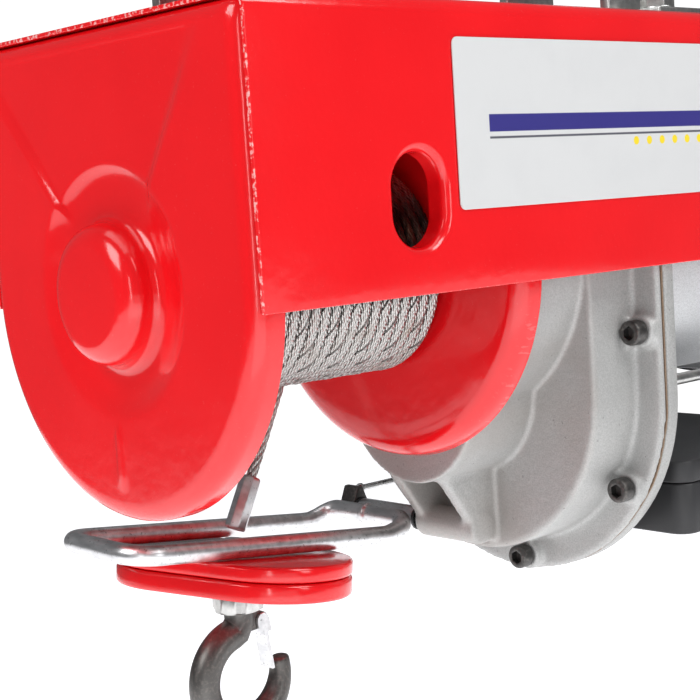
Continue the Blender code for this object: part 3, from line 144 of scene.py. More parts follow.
def make_floor():
    """A pale plane that is bright enough to run into the white background."""
    mesh = bpy.data.meshes.new("floor")
    corners = [(x * FLOOR_HALF, y * FLOOR_HALF, -FLOOR_DROP) for x, y in ((-1, -1), (1, -1), (1, 1), (-1, 1))]
    mesh.from_pydata(corners, [], [(0, 1, 2, 3)])
    paint = bpy.data.materials.new("pale_floor")
    paint.use_nodes = True
    shader = paint.node_tree.nodes["Principled BSDF"]
    shader.inputs["Base Color"].default_value = (0.86, 0.86, 0.87, 1.0)
    shader.inputs["Roughness"].default_value = 0.9
    shader.inputs["Emission Color"].default_value = (0.9, 0.9, 0.92, 1.0)
    shader.inputs["Emission Strength"].default_value = 0.95
    mesh.materials.append(paint)
    new_object("floor", mesh)


# ---------------------------------------------------------------- material maths
class Value:
    """A shader socket that ordinary sums and products can be written with."""

    def __init__(self, finish, socket):
        self.finish = finish
        self.socket = socket

    def __add__(self, other):
        return self.finish.math("ADD", self, other)

    def __sub__(self, other):
        return self.finish.math("SUBTRACT", self, other)

    def __rsub__(self, other):
        return self.finish.math("SUBTRACT", other, self)

    def __mul__(self, other):
        return self.finish.math("MULTIPLY", self, other)

    __radd__ = __add__
    __rmul__ = __mul__


class Finish:
    """A material, its Principled shader and the record's slot it belongs to."""

    def __init__(self, name, slot, colour, roughness, metallic, **fixed):
        self.slot = slot
        self.material = bpy.data.materials.new(name)
        self.material.use_nodes = True
        self.tree = self.material.node_tree
        self.shader = self.tree.nodes["Principled BSDF"]
        self.set("Base Color", (*colour, 1.0))
        self.set("Roughness", roughness)
        self.set("Metallic", metallic)
        for socket, value in fixed.items():
            self.set(socket.replace("_", " "), value)
        self.coordinates = self.local_coordinates()

    def set(self, socket, value):
        self.feed(self.shader.inputs[socket], value)

    def feed(self, socket, value):
        if isinstance(value, Value):
            self.tree.links.new(value.socket, socket)
        else:
            socket.default_value = value

    def node(self, kind, settings=None, inputs=None, output=0):
        """Add a node: its settings first, then its sockets' values or links; returns one output."""
        node = self.tree.nodes.new(kind)
        for name, value in (settings or {}).items():
            setattr(node, name, value)
        for key, value in (inputs or {}).items():
            self.feed(node.inputs[key], value)
        return Value(self, node.outputs[output])

    def local_coordinates(self):
        """Object coordinates turned into the hoist's millimetres."""
        place = self.node("ShaderNodeTexCoord", output="Object")
        return self.node("ShaderNodeMapping", {"vector_type": "TEXTURE"},
                         {"Vector": place, "Location": DATUM, "Scale": (MM, MM, MM)})

    def math(self, operation, first, second=0.0):
        return self.node("ShaderNodeMath", {"operation": operation}, {0: first, 1: second})

    def axis(self, letter):
        return self.node("ShaderNodeSeparateXYZ", {}, {0: self.coordinates}, letter)

    def attribute(self, name):
        return self.node("ShaderNodeAttribute", {"attribute_name": name}, {}, "Fac")

    def noise(self, scale, detail=3.0, stretch=None, distortion=0.0):
        vector = self.coordinates
        if stretch:
            vector = self.node("ShaderNodeVectorMath", {"operation": "MULTIPLY"}, {0: vector, 1: stretch})
        return self.node("ShaderNodeTexNoise", {}, {"Vector": vector, "Scale": scale, "Detail": detail,
                                                    "Distortion": distortion}, "Fac")

    def band(self, value, low, high):
        """0 below low, 1 above high, smooth between; low may be the larger."""
        return self.node("ShaderNodeMapRange", {"interpolation_type": "SMOOTHSTEP"},
                         {"Value": value, "From Min": low, "From Max": high})

    def blend(self, mask, under, over):
        inputs = {0: mask, 6: under if isinstance(under, Value) else (*under, 1.0),
                  7: over if isinstance(over, Value) else (*over, 1.0)}
        return self.node("ShaderNodeMix", {"data_type": "RGBA"}, inputs, 2)

    def bump(self, height, depth, strength=1.0):
        """depth is in millimetres."""
        normal = self.node("ShaderNodeBump", {}, {"Height": height, "Distance": depth * MM, "Strength": strength})
        self.set("Normal", normal)


RED = (0.86, 0.008, 0.012)
DEEP_RED = (0.70, 0.004, 0.008)
# pale colour of rubbed paint and dust, and of the painted highlight blotches on the end cover's shoulder
PALE_WEAR_AND_HIGHLIGHT = (0.86, 0.55, 0.52)


def red_enamel(name, wear_and_highlight=None):
    """Glossy sprayed enamel. The optional mask function gives where it is rubbed through; on the end cover's
    shoulder its pale blotches are partly a painted highlight.
    """
    red = Finish(name, "red_paint", RED, 0.22, 0.0, Coat_Roughness=0.06)
    cloud = red.noise(0.018, 2.0)
    dust = red.band(red.noise(0.9, 4.0), 0.66, 0.74)
    colour = red.blend(cloud, DEEP_RED, RED)
    colour = red.blend(dust * 0.04, colour, PALE_WEAR_AND_HIGHLIGHT)
    red.set("Roughness", 0.12 + red.noise(0.06, 3.0) * 0.10)
    red.set("Coat Weight", 0.18 + cloud * 0.2)
    if wear_and_highlight:
        # rubbed paint, and on the end cover's shoulder partly a painted highlight
        colour = red.blend(wear_and_highlight(red), colour, PALE_WEAR_AND_HIGHLIGHT)
    red.set("Base Color", colour)
    red.bump(red.noise(0.16, 2.0) * 0.8 + red.noise(1.4, 2.0) * 0.10, 0.16)
    return red


def worn_edge(finish, distance, width):
    """Mask of a rubbed strip, broken up, where distance is the millimetres from the edge."""
    patches = finish.band(finish.noise(0.7, 5.0), 0.50, 0.64)
    return finish.band(distance, width, width * 0.35) * patches


def panel_wear(finish):
    """Rubbed left and lower edges of the front panel."""
    left = finish.axis("X") - CHANNEL[0].x
    lower = finish.axis("Z") - CHANNEL[0].z
    return finish.math("MAXIMUM", worn_edge(finish, left, 0.55) * 0.75, worn_edge(finish, lower, 0.4) * 0.2)


def cover_wear_and_highlight(finish):
    """Pale blotches along the rounded shoulder beside the panel: partly rubbed paint, partly a painted highlight.
    """
    across = finish.math("ABSOLUTE", finish.axis("X") - 1.0)
    side = finish.band(finish.axis("Y"), -72.5, -74.5) * finish.band(finish.axis("Z"), -2.0, 6.0)
    blotch = finish.band(finish.noise(0.30, 2.0), 0.60, 0.64)
    return finish.band(across, 2.0, 1.0) * side * blotch * 0.6


def flange_wear(finish):
    """Scratches where the rope and guide rub the rolled rim."""
    rim = finish.band(finish.axis("X"), 122.0, 127.0)
    marks = finish.band(finish.noise(0.5, 5.0, stretch=(0.3, 1.0, 1.0)), 0.60, 0.66)
    return rim * marks * 0.1


def cast_metal(name, tint=(0.50, 0.50, 0.49), stain=0.0):
    cast = Finish(name, "cast_aluminium", tint, 0.5, 0.35)
    grain = cast.noise(1.6, 3.0)
    patches = cast.noise(0.03, 4.0)
    dark = tuple(c * 0.80 for c in tint)
    colour = cast.blend(cast.band(grain, 0.35, 0.65), dark, tint)
    colour = cast.blend(cast.band(patches, 0.35, 0.75) * 0.35, colour, tuple(c * 0.74 for c in tint))
    # a darker brown band over the face, hub and lobe towards the drum: partly a real stain, partly painted shade
    # on the side turned from the light
    if stain:
        face = cast.band(cast.axis("X"), 172.0, 169.0) * cast.band(cast.noise(0.02, 3.0), 0.30, 0.62)
        colour = cast.blend(face * stain, colour, (0.34, 0.30, 0.27))
    specks = cast.band(cast.noise(0.55, 4.0), 0.69, 0.74)
    colour = cast.blend(specks * 0.5, colour, (0.12, 0.11, 0.10))
    cast.set("Base Color", colour)
    cast.set("Roughness", 0.42 + patches * 0.22)
    cast.bump(grain * 0.5 + cast.noise(0.35, 2.0), 0.14)
    return cast


def bright_metal(name, slot, tint, roughness, streaks=(1.0, 1.0, 1.0), pits=0.0):
    metal = Finish(name, slot, tint, roughness, 1.0)
    lines = metal.noise(0.35, 4.0, stretch=streaks)
    colour = metal.blend(metal.band(lines, 0.3, 0.7), tuple(c * 0.78 for c in tint), tint)
    if pits:
        mask = metal.band(metal.noise(0.8, 5.0), 0.62, 0.70) * pits
        colour = metal.blend(mask, colour, (0.16, 0.15, 0.15))
    metal.set("Base Color", colour)
    metal.set("Roughness", roughness + lines * 0.16)
    metal.bump(lines + metal.noise(2.0, 2.0) * 0.3, 0.03)
    return metal


def turned_steel(name, slot="bright_steel", tint=(0.56, 0.56, 0.56)):
    """Fine rings left by a lathe, about the drum axis."""
    steel = Finish(name, slot, tint, 0.3, 1.0)
    rings = steel.node("ShaderNodeTexNoise", {"noise_dimensions": "1D"},
                       {"W": steel.axis("X"), "Scale": 2.2}, "Fac")
    steel.set("Base Color", steel.blend(rings, tuple(c * 0.7 for c in tint), tint))
    steel.set("Roughness", 0.24 + rings * 0.2)
    steel.bump(rings, 0.03)
    return steel


def blackened(name, tint=(0.085, 0.082, 0.08)):
    black = Finish(name, "dark_steel", tint, 0.36, 0.85)
    cloud = black.noise(0.7, 4.0)
    black.set("Base Color", black.blend(black.band(cloud, 0.45, 0.75) * 0.5, tint, (0.24, 0.22, 0.20)))
    black.set("Roughness", 0.28 + cloud * 0.25)
    black.bump(cloud, 0.05)
    return black


def moulded_black(name):
    """Fine-grained moulded plastic, a little cloudy from handling."""
    plastic = Finish(name, "black_plastic", (0.016, 0.016, 0.018), 0.42, 0.0)
    texture = plastic.noise(2.2, 2.0)
    cloud = plastic.noise(0.03, 3.0)
    plastic.set("Base Color", plastic.blend(cloud, (0.012, 0.012, 0.013), (0.030, 0.030, 0.032)))
    plastic.set("Roughness", 0.34 + cloud * 0.2)
    plastic.bump(texture, 0.05)
    return plastic


def stranded_wire(name):
    """Wires lie slantwise on each strand, with a little rust; the grooves between strands are darkened as painted
    shade, and the front of the pile under the frame as a painted shadow.
    """
    wire = Finish(name, "rope_steel", (0.62, 0.61, 0.58), 0.36, 0.85)
    along = wire.attribute("along")
    around = wire.attribute("round")
    groove = wire.attribute("groove")
    wires = wire.math("SINE", along * (2 * math.pi / WIRE_PITCH) + around * (2 * math.pi * WIRES_ROUND))
    stain = wire.band(wire.noise(0.06, 4.0), 0.55, 0.75)
    colour = wire.blend(wire.band(wires, -0.9, 0.3), (0.36, 0.35, 0.335), (0.62, 0.61, 0.59))
    # painted shade: every groove between the strands is darkened
    colour = wire.blend(wire.band(groove, 0.60, 0.98) * 0.55, colour, (0.12, 0.105, 0.09))
    rust = wire.band(wire.math("ABSOLUTE", wire.axis("X") - 95.0), 14.0, 6.0)
    # painted shadow on the front of the rope pile, under the frame's front panel
    shade = wire.band(wire.axis("Y"), -24.0, -36.0) * wire.band(wire.axis("Z"), -14.0, -3.0)
    colour = wire.blend(shade * 0.95, colour, (0.03, 0.025, 0.022))
    colour = wire.blend(stain * (rust * 0.4 + 0.15), colour, (0.30, 0.19, 0.11))
    wire.set("Base Color", colour)
    wire.set("Roughness", 0.30 + stain * 0.3)
    wire.bump(wires, 0.10)
    return wire


def label_print(name):
    """Pale film with a plain dark stripe, a thin ruled line and a row of small dots."""
    film = Finish(name, "pale_plate", (0.74, 0.75, 0.76), 0.34, 0.0)
    x, z = film.axis("X"), film.axis("Z")
    scuff = film.noise(0.05, 4.0)
    colour = film.blend(film.band(scuff, 0.4, 0.8) * 0.25, (0.63, 0.635, 0.635), (0.54, 0.545, 0.55))
    start, end = PLATE[0].x + 16.0, PLATE[1].x - 14.0
    across = film.band(x, start, start + 0.3) * film.band(x, end, end - 0.3)
    for low, high, tint in ((PLATE[0].z + 26.0, PLATE[0].z + 32.0, (0.035, 0.03, 0.20)),
                            (PLATE[0].z + 23.6, PLATE[0].z + 24.4, (0.10, 0.10, 0.12))):
        stripe = film.band(z, low - 0.15, low + 0.15) * film.band(z, high + 0.15, high - 0.15)
        colour = film.blend(stripe * across, colour, tint)
    for i in range(DOTS):
        centre = (DOT_START[0] + 8.0 * i, DOT_START[1])
        away = film.node("ShaderNodeVectorMath", {"operation": "DISTANCE"},
                         {0: film.node("ShaderNodeCombineXYZ", {}, {0: x, 2: z}),
                          1: (centre[0], 0.0, centre[1])}, "Value")
        colour = film.blend(film.band(away, 1.75, 1.45), colour, (0.86, 0.66, 0.03))
    film.set("Base Color", colour)
    film.set("Roughness", 0.26 + scuff * 0.2)
    film.bump(film.noise(0.4, 2.0), 0.02)
    return film


def gasket_fibre(name):
    """Brown fibre, mottled by oil."""
    fibre = Finish(name, "gasket_fibre", (0.20, 0.13, 0.08), 0.8, 0.0)
    spots = fibre.noise(1.1, 4.0)
    fibre.set("Base Color", fibre.blend(spots, (0.13, 0.08, 0.05), (0.34, 0.24, 0.16)))
    fibre.set("Roughness", 0.6 + spots * 0.3)
    fibre.bump(spots, 0.15)
    return fibre


# ---------------------------------------------------------------- shape helpers (millimetres)
ROUND = 128


def new_object(name, mesh):
    thing = bpy.data.objects.new(name, mesh)
    bpy.context.scene.collection.objects.link(thing)
    return thing


def from_bmesh(name, work, sharp=35.0):
    bmesh.ops.remove_doubles(work, verts=work.verts, dist=0.001)
    bmesh.ops.recalc_face_normals(work, faces=work.faces)
    mesh = bpy.data.meshes.new(name)
    work.to_mesh(mesh)
    work.free()
    mesh.shade_smooth()
    mesh.set_sharp_from_angle(angle=math.radians(sharp))
    return new_object(name, mesh)


def plain_mesh(thing):
    """Apply every modifier and leave an ordinary mesh object of the same name."""
    bpy.context.view_layer.update()
    evaluated = thing.evaluated_get(bpy.context.evaluated_depsgraph_get())
    mesh = bpy.data.meshes.new_from_object(evaluated)
    name = thing.name
    bpy.data.objects.remove(thing, do_unlink=True)
    return new_object(name, mesh)


def settle(thing, body, finish, *nodes, smooth=None):
    """Finish a shape: apply its modifiers, put it in place, give it its material and body, and hide the CAD nodes
    it replaces.
    """
    thing = plain_mesh(thing)
    thing.data.transform(PLACE)
    if smooth is not None:
        thing.data.shade_smooth()
        thing.data.set_sharp_from_angle(angle=math.radians(smooth))
    thing.data.materials.clear()
    thing.data.materials.append(finish.material)
    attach(thing, body)
    if nodes:
        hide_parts(*nodes)
    return thing


def arc(centre, radius, start, end, steps):
    points = []
    for i in range(steps + 1):
        turn = math.radians(start + (end - start) * i / steps)
        points.append((centre[0] + radius * math.cos(turn), centre[1] + radius * math.sin(turn)))
    return points


def soften(points, radius, steps=4):
    """Round every corner of a closed outline."""
    rounded = []
    for i, point in enumerate(points):
        here, before, after = (Vector(p) for p in (point, points[i - 1], points[(i + 1) % len(points)]))
        into, out = here - before, after - here
        reach = min(radius, into.length * 0.45, out.length * 0.45)
        if into.angle(out, 0.0) < 0.2 or reach < 0.01:
            rounded.append(tuple(here))
            continue
        first, last = here - into.normalized() * reach, here + out.normalized() * reach
        for k in range(steps + 1):
            t = k / steps
            rounded.append(tuple(first * (1 - t) ** 2 + here * 2 * t * (1 - t) + last * t * t))
    return rounded


def rounded_box(centre, half_first, half_second, corner, steps=12):
    points = []
    for first, second, turn in ((1, 1, 0), (-1, 1, 90), (-1, -1, 180), (1, -1, 270)):
        place = (centre[0] + first * (half_first - corner), centre[1] + second * (half_second - corner))
        points += arc(place, corner, turn, turn + 90, steps)
    return points


def spot(axis, along, first, second):
    if axis == "X":
        return Vector((along, first, second))
    if axis == "Y":
        return Vector((first, along, second))
    return Vector((first, second, along))


def skin(work, rings, closed_stack):
    """Quads between rings of equal count; a ring of one point is a pole."""
    pairs = list(zip(rings, rings[1:]))
    if closed_stack:
        pairs.append((rings[-1], rings[0]))
    for first, second in pairs:
        count = max(len(first), len(second))
        for i in range(count):
            j = (i + 1) % count
            corners = [first[i % len(first)], first[j % len(first)],
                       second[j % len(second)], second[i % len(second)]]
            unique = list(dict.fromkeys(corners))
            if len(unique) > 2:
                work.faces.new(unique)


def stack(name, rings, closed_stack=False, capped=False, sharp=35.0):
    work = bmesh.new()
    made = [[work.verts.new(point) for point in ring] for ring in rings]
    skin(work, made, closed_stack)
    if capped:
        work.faces.new(made[0])
        work.faces.new(made[-1])
    return from_bmesh(name, work, sharp)


def lathe(name, profile, axis="X", centre=(0.0, 0.0), count=ROUND, soft=0.0, sharp=35.0):
    """Turn a closed profile of (along, radius) points; points on the axis have radius 0."""
    solid = any(radius == 0 for _, radius in profile)
    if soft and solid:
        inner = [p for p in profile if p[1] > 0]
        rounded = soften([profile[0]] + inner + [profile[-1]], soft)
        profile = [profile[0]] + [p for p in rounded if p[1] > 0.001] + [profile[-1]]
    elif soft:
        profile = soften(profile, soft)
    rings = []
    for along, radius in profile:
        if radius <= 0.001:
            rings.append([spot(axis, along, *centre)])
            continue
        turns = [2 * math.pi * i / count for i in range(count)]
        rings.append([spot(axis, along, centre[0] + radius * math.cos(t), centre[1] + radius * math.sin(t))
                      for t in turns])
    return stack(name, rings, closed_stack=not solid, sharp=sharp)


def pole_rod(start, end, radius):
    """Profile of a solid round bar."""
    return [(start, 0), (start, radius), (end, radius), (end, 0)]


def hollow(start, end, outer, inner):
    """Profile of a tube."""
    return [(start, outer), (end, outer), (end, inner), (start, inner)]


def slab(name, outline, low, high, axis="X", edge=0.0):
    """Extrude an outline; edge rounds its sharp edges."""
    rings = [[spot(axis, level, *point) for point in outline] for level in (low, high)]
    thing = stack(name, rings, capped=True)
    if edge:
        round_edges(thing, edge)
    return thing


def round_edges(thing, width, segments=3, angle=40.0):
    bevel = thing.modifiers.new("rounded_edges", "BEVEL")
    bevel.width = width
    bevel.segments = segments
    bevel.limit_method = "ANGLE"
    bevel.angle_limit = math.radians(angle)
    bevel.harden_normals = False


def bored(target, operation, tools):
    """Join or cut closed shapes into a target; the tools are used up."""
    for tool in tools:
        step = target.modifiers.new(operation.lower(), "BOOLEAN")
        step.operation = operation
        step.solver = "MANIFOLD"
        step.object = tool
    target = plain_mesh(target)
    for tool in tools:
        bpy.data.objects.remove(tool, do_unlink=True)
    return target


def merge(name, things):
    """One object of several closed shapes that belong to one piece."""
    work = bmesh.new()
    for thing in things:
        thing = plain_mesh(thing)
        work.from_mesh(thing.data)
        bpy.data.objects.remove(thing, do_unlink=True)
    mesh = bpy.data.meshes.new(name)
    work.to_mesh(mesh)
    work.free()
    return new_object(name, mesh)


def pipe(name, points, radius, sides=20, closed=False, radii=None):
    """A round bar along points, its cross-section carried along without twist."""
    count = len(points)
    rings = []
    normal = None
    for i, point in enumerate(points):
        ahead = points[(i + 1) % count] if closed or i + 1 < count else point
        behind = points[i - 1] if closed or i else point
        tangent = (ahead - behind).normalized()
        if normal is None:
            normal = tangent.orthogonal().normalized()
        normal = (normal - tangent * normal.dot(tangent)).normalized()
        binormal = tangent.cross(normal)
        size = radii[i] if radii else radius
        rings.append([point + (normal * math.cos(t) + binormal * math.sin(t)) * size
                      for t in (2 * math.pi * k / sides for k in range(sides))])
    return stack(name, rings, closed_stack=closed, capped=not closed, sharp=60.0)


def smooth_path(points, count):
    """Points on a smooth curve through the given ones."""
    ends = [2 * points[0] - points[1]] + points + [2 * points[-1] - points[-2]]
    spans = len(points) - 1
    result = []
    for i in range(count):
        t = spans * i / (count - 1)
        k = min(int(t), spans - 1)
        u = t - k
        p0, p1, p2, p3 = ends[k:k + 4]
        result.append(0.5 * (2 * p1 + (p2 - p0) * u + (2 * p0 - 5 * p1 + 4 * p2 - p3) * u * u
                             + (3 * p1 - p0 - 3 * p2 + p3) * u ** 3))
    return result


def smoothstep(value, low, high):
    t = min(max((value - low) / (high - low), 0.0), 1.0)
    return t * t * (3 - 2 * t)


# ---------------------------------------------------------------- geometry-node trees
class Tree:
    """A geometry-node group built by name, with its inputs set by identifier."""

    def __init__(self, name, inputs):
        self.group = bpy.data.node_groups.new(name, "GeometryNodeTree")
        self.identifiers = {}
        self.group.interface.new_socket("Geometry", in_out="INPUT", socket_type="NodeSocketGeometry")
        for label, kind in inputs:
            socket = self.group.interface.new_socket(label, in_out="INPUT", socket_type="NodeSocket" + kind)
            self.identifiers[label] = socket.identifier
        self.group.interface.new_socket("Geometry", in_out="OUTPUT", socket_type="NodeSocketGeometry")
        self.given = self.group.nodes.new("NodeGroupInput")
        self.result = self.group.nodes.new("NodeGroupOutput")

    def node(self, kind, settings=None, inputs=None):
        node = self.group.nodes.new(kind)
        for name, value in (settings or {}).items():
            setattr(node, name, value)
        for key, value in (inputs or {}).items():
            if isinstance(value, bpy.types.NodeSocket):
                self.group.links.new(value, node.inputs[key])
            else:
                node.inputs[key].default_value = value
        return node

    def math(self, operation, first, second=0.0):
        return self.node("ShaderNodeMath", {"operation": operation}, {0: first, 1: second}).outputs[0]

    def finish(self, geometry, material):
        real = self.node("GeometryNodeRealizeInstances", {}, {"Geometry": geometry})
        painted = self.node("GeometryNodeSetMaterial", {}, {"Geometry": real.outputs[0], "Material": material})
        self.group.links.new(painted.outputs[0], self.result.inputs[0])

    def apply(self, thing, values):
        modifier = thing.modifiers.new(self.group.name, "NODES")
        modifier.node_group = self.group
        for label, value in values.items():
            modifier[self.identifiers[label]] = value
        return plain_mesh(thing)


STRANDS = 6
WIRE_PITCH = 1.5                  # millimetres along the rope between two slanting wires
WIRES_ROUND = 12
ROPE_LAY = 28.0                   # millimetres for one turn of a strand


def twisted_rope_tree():
    """Sweep a lobed section along a curve while it turns, and store where each point lies."""
    tree = Tree("twisted_rope", [("Radius", "Float"), ("Lay", "Float"), ("Strands", "Int"),
                                 ("Around", "Int"), ("Finish", "Material")])
    given = tree.given.outputs
    length = tree.node("GeometryNodeSplineParameter").outputs["Length"]
    turn = tree.math("MULTIPLY", tree.math("DIVIDE", length, given["Lay"]), 2 * math.pi)
    tilted = tree.node("GeometryNodeSetCurveTilt", {}, {"Curve": given["Geometry"], "Tilt": turn})
    marked = tree.node("GeometryNodeStoreNamedAttribute", {"data_type": "FLOAT", "domain": "POINT"},
                       {"Geometry": tilted.outputs[0], "Name": "along", "Value": length})
    circle = tree.node("GeometryNodeCurvePrimitiveCircle", {},
                       {"Resolution": given["Around"], "Radius": given["Radius"]})
    share = tree.node("GeometryNodeSplineParameter").outputs["Factor"]
    lobes = tree.math("MULTIPLY", tree.math("MULTIPLY", share, given["Strands"]), math.pi)
    crown = tree.math("ABSOLUTE", tree.math("SINE", lobes))
    groove = tree.math("SUBTRACT", 1.0, crown)
    size = tree.math("ADD", tree.math("MULTIPLY", crown, 0.2), 0.8)
    place = tree.node("GeometryNodeInputPosition").outputs[0]
    scaled = tree.node("ShaderNodeVectorMath", {"operation": "SCALE"}, {0: place, "Scale": size})
    section = tree.node("GeometryNodeSetPosition", {}, {"Geometry": circle.outputs[0],
                                                        "Position": scaled.outputs[0]})
    round_mark = tree.node("GeometryNodeStoreNamedAttribute", {"data_type": "FLOAT", "domain": "POINT"},
                           {"Geometry": section.outputs[0], "Name": "round", "Value": share})
    groove_mark = tree.node("GeometryNodeStoreNamedAttribute", {"data_type": "FLOAT", "domain": "POINT"},
                            {"Geometry": round_mark.outputs[0], "Name": "groove", "Value": groove})
    swept = tree.node("GeometryNodeCurveToMesh", {}, {"Curve": marked.outputs[0],
                                                      "Profile Curve": groove_mark.outputs[0],
                                                      "Fill Caps": True})
    smooth = tree.node("GeometryNodeSetShadeSmooth", {}, {"Geometry": swept.outputs[0]})
    tree.finish(smooth.outputs[0], given["Finish"])
    return tree


def make_rope(name, tree, points, diameter, finish, around):
    curve = bpy.data.curves.new(name, "CURVE")
    curve.dimensions = "3D"
    spline = curve.splines.new("POLY")
    spline.points.add(len(points) - 1)
    for point, place in zip(spline.points, points):
        point.co = (*place, 1.0)
    thing = new_object(name, curve)
    return tree.apply(thing, {"Radius": diameter / 2, "Lay": ROPE_LAY, "Strands": STRANDS, "Around": around,
                              "Finish": finish.material})


def repeated_part_tree():
    """Stand one part at each point of the geometry given."""
    tree = Tree("repeated_part", [("Part", "Object"), ("Finish", "Material")])
    given = tree.given.outputs
    info = tree.node("GeometryNodeObjectInfo", {"transform_space": "ORIGINAL"}, {"Object": given["Part"]})
    spread = tree.node("GeometryNodeInstanceOnPoints", {}, {"Points": given["Geometry"],
                                                            "Instance": info.outputs["Geometry"]})
    tree.finish(spread.outputs[0], given["Finish"])
    return tree


def repeat_part(name, tree, part, places, finish):
    """Copies of a part made at zero, one at each place; the pattern part is used up."""
    mesh = bpy.data.meshes.new(name)
    mesh.from_pydata([tuple(p) for p in places], [], [])
    part = plain_mesh(part)
    thing = tree.apply(new_object(name, mesh), {"Part": part, "Finish": finish.material})
    bpy.data.objects.remove(part, do_unlink=True)
    return thing


# ---------------------------------------------------------------- sizes
CHANNEL = span("frame_channel")
PLATE = span("name_plate")
PLATE_CORNER = 2.5
GAP = 0.3                         # clearance where pieces fit together
SMOOTH = 38.0                     # edges flatter than this many degrees are shaded smooth
FRAME_HALF = CHANNEL[1].y         # half width over the panels
FRAME_SHEET = 1.6
FRAME_RISE = 92.0
FRAME_BEND = 6.0
SEAT_HALF = 20.0                  # pressed-up seat for the carrying bar
SEAT = (30.0, 280.0)
SLOT = (67.2, 25.2)
SLOT_WIDTH = 30.0
SLOT_HEIGHT = 38.6
SLOT_LIP = 3.4
SLOT_DEPTH = 9.0

DOTS = 6
DOT_START = (182.0, 42.0)          # first of a straight row

COVER_HALF = 79.4
COVER_TOP = 90.1
COVER_FACE = -4.0
COVER_REAR = 7.8
COVER_FILLET = 6.5
COVER_SHEET = 1.6
RECESS = 44.0
RECESS_DEPTH = 4.0
RECESS_RUN = 13.5                 # from its rim in to its floor
BOSS_RADIUS = 24.4
BOSS_FACE = -13.5
BOSS_ROOT = 4.5                   # fillet at the boss's foot
BOSS_EDGE = 8.0                   # fillet at its face
CREASE_LEFT = ((57.8, 63.4), (34.4, 36.0))
CREASE_RIGHT = ((-39.0, 55.0), (-26.3, 36.0))

DRUM_START = 6.8
DRUM_END = 119.5
PILE_CORE = 37.0
PILE_CENTRE = 38.65               # radius of the outer layer's rope centre
PILE_END = 118.4
ROPE = 4.5

STAGE = 53.0                      # drum axis to the countershaft below it
HOUSING_FACE = 168.0
HOUSING_STEP = 194.5
HOUSING_MATE = 198.0
HOUSING_HALF = 67.0
HOUSING_LOW = 55.5                # drum axis to the centre of the body's lower arc
FLANGE_HALF = 79.0
FLANGE_LOW = 57.5
WALL = 4.5
HUB = (132.4, 64.5)
LOBE = (132.0, 36.2)
SCREW_CIRCLE = 73.4               # upper screws, about the drum axis
SCREW_BOTTOM = (-7.0, -129.6)
SCREW_LOW = (62.5, -95.3)
SCREW_SIDE = (72.4, -32.0)
SCREW_SEAT = 190.2
PLATE_START = 199.4
PLATE_END = 205.8

MOTOR = (214.4, 318.4, 62.0)
BELL_HALF = 65.0
BELL_CORNER = 16.0
BELL_THICKNESS = 8.0
MOTOR_WALL = 4.0
TIE_ROD = 57.0
FAN_COVER_START = 327.0
FAN_COVER_END = 379.0
FAN_COVER_RADIUS = 67.2

BOX = (219.0, 331.0)
BOX_HALF = 70.0
BOX_TOP = -89.0
BOX_SEAM = -98.4
BOX_BOTTOM = -119.6
BOX_WALL = 2.5
BOX_CORNER = 8.0
NECK = (253.0, 0.0)
GLANDS = (-34.0, -6.0)             # the cable glands' places across the box

LEVER = (159.0, -111.2)
ARM = span("trip_arm")
BAIL_FRONT = 21.0
BAIL_BACK = 72.0
BAIL_LEFT = 12.2
BAIL_CORNER = 11.0
BAIL_SLOPE = 0.131
BAIL_WIRE = 4.0
BAIL_HEIGHT = -97.7               # at its left end
BAIL_KICK = (134.0, 16.0, 7.0)    # where it turns up, over what run, and by how much
BAIL_CLEAR = 6.5                  # room between its end wire and the lever's axis
ROD_PLACE = (68.0, -103.6)

HOOK = (70.5, 40.5)
FERRULE = 22.0                    # length of the pressed sleeve
STOP_TOP = -109.8
STOP_LAYERS = ((-116.0, -109.8), (-123.9, -116.3))
HOOK_WIRE = 6.2
HOOK_BOWL = 13.0
HOOK_TIP = 4.2
HOOK_NECK = 9.0                   # shank left below the nut
HOOK_TAPER = 290                  # degrees round the bowl where it starts to thin
EAR_RADIUS = 3.4                  # ear that carries the latch's rivet

CLAMPS = (60.0, 250.0)
CLAMP_BASE = FRAME_RISE + GAP
CLAMP_SHEET = 5.0
CLAMP_WIDTH = 32.0
CLAMP_INNER = 26.0                # half the clear width for the carrying bar
CLAMP_FOOT = 57.0                 # a foot's end from the middle
CLAMP_BEND = 8.0
BOLT_SPREAD = 44.0                # clamp bolts from the middle
BOLT_HOLE = 4.3
BOLT_HEAD = 5.2


# ---------------------------------------------------------------- finishes
red_panel = red_enamel("red_enamel_panel", panel_wear)
# the end cover's shoulder gets pale blotches that are partly a painted highlight
red_cover = red_enamel("red_enamel_cover", cover_wear_and_highlight)
red_plain = red_enamel("red_enamel")
red_flange = red_enamel("red_enamel_flange", flange_wear)
# the housing's brown stain on its drum side is partly painted shade
housing_cast = cast_metal("cast_housing", stain=0.40)
housing_plain = cast_metal("cast_cover", (0.47, 0.47, 0.46))
motor_cast = cast_metal("cast_motor", (0.66, 0.67, 0.68))
plated = bright_metal("zinc_plate", "zinc_plate", (0.80, 0.80, 0.81), 0.27, (1.0, 0.35, 1.0), pits=0.55)
bolt_plate = bright_metal("zinc_bolts", "zinc_plate", (0.66, 0.66, 0.64), 0.24, pits=0.2)
bright_pin = bright_metal("bright_pin", "bright_steel", (0.62, 0.62, 0.62), 0.18)
ground = turned_steel("turned_steel")
socket_black = blackened("black_oxide")
forged = blackened("forged_steel", (0.12, 0.115, 0.11))
plastic = moulded_black("moulded_black")
label = label_print("label_film")
fibre = gasket_fibre("gasket_fibre")
wire_rope = stranded_wire("stranded_wire")
# dark sleeve under the wound rope: painted shade between the turns
rope_core = bright_metal("rope_core", "rope_steel", (0.20, 0.18, 0.16), 0.5)

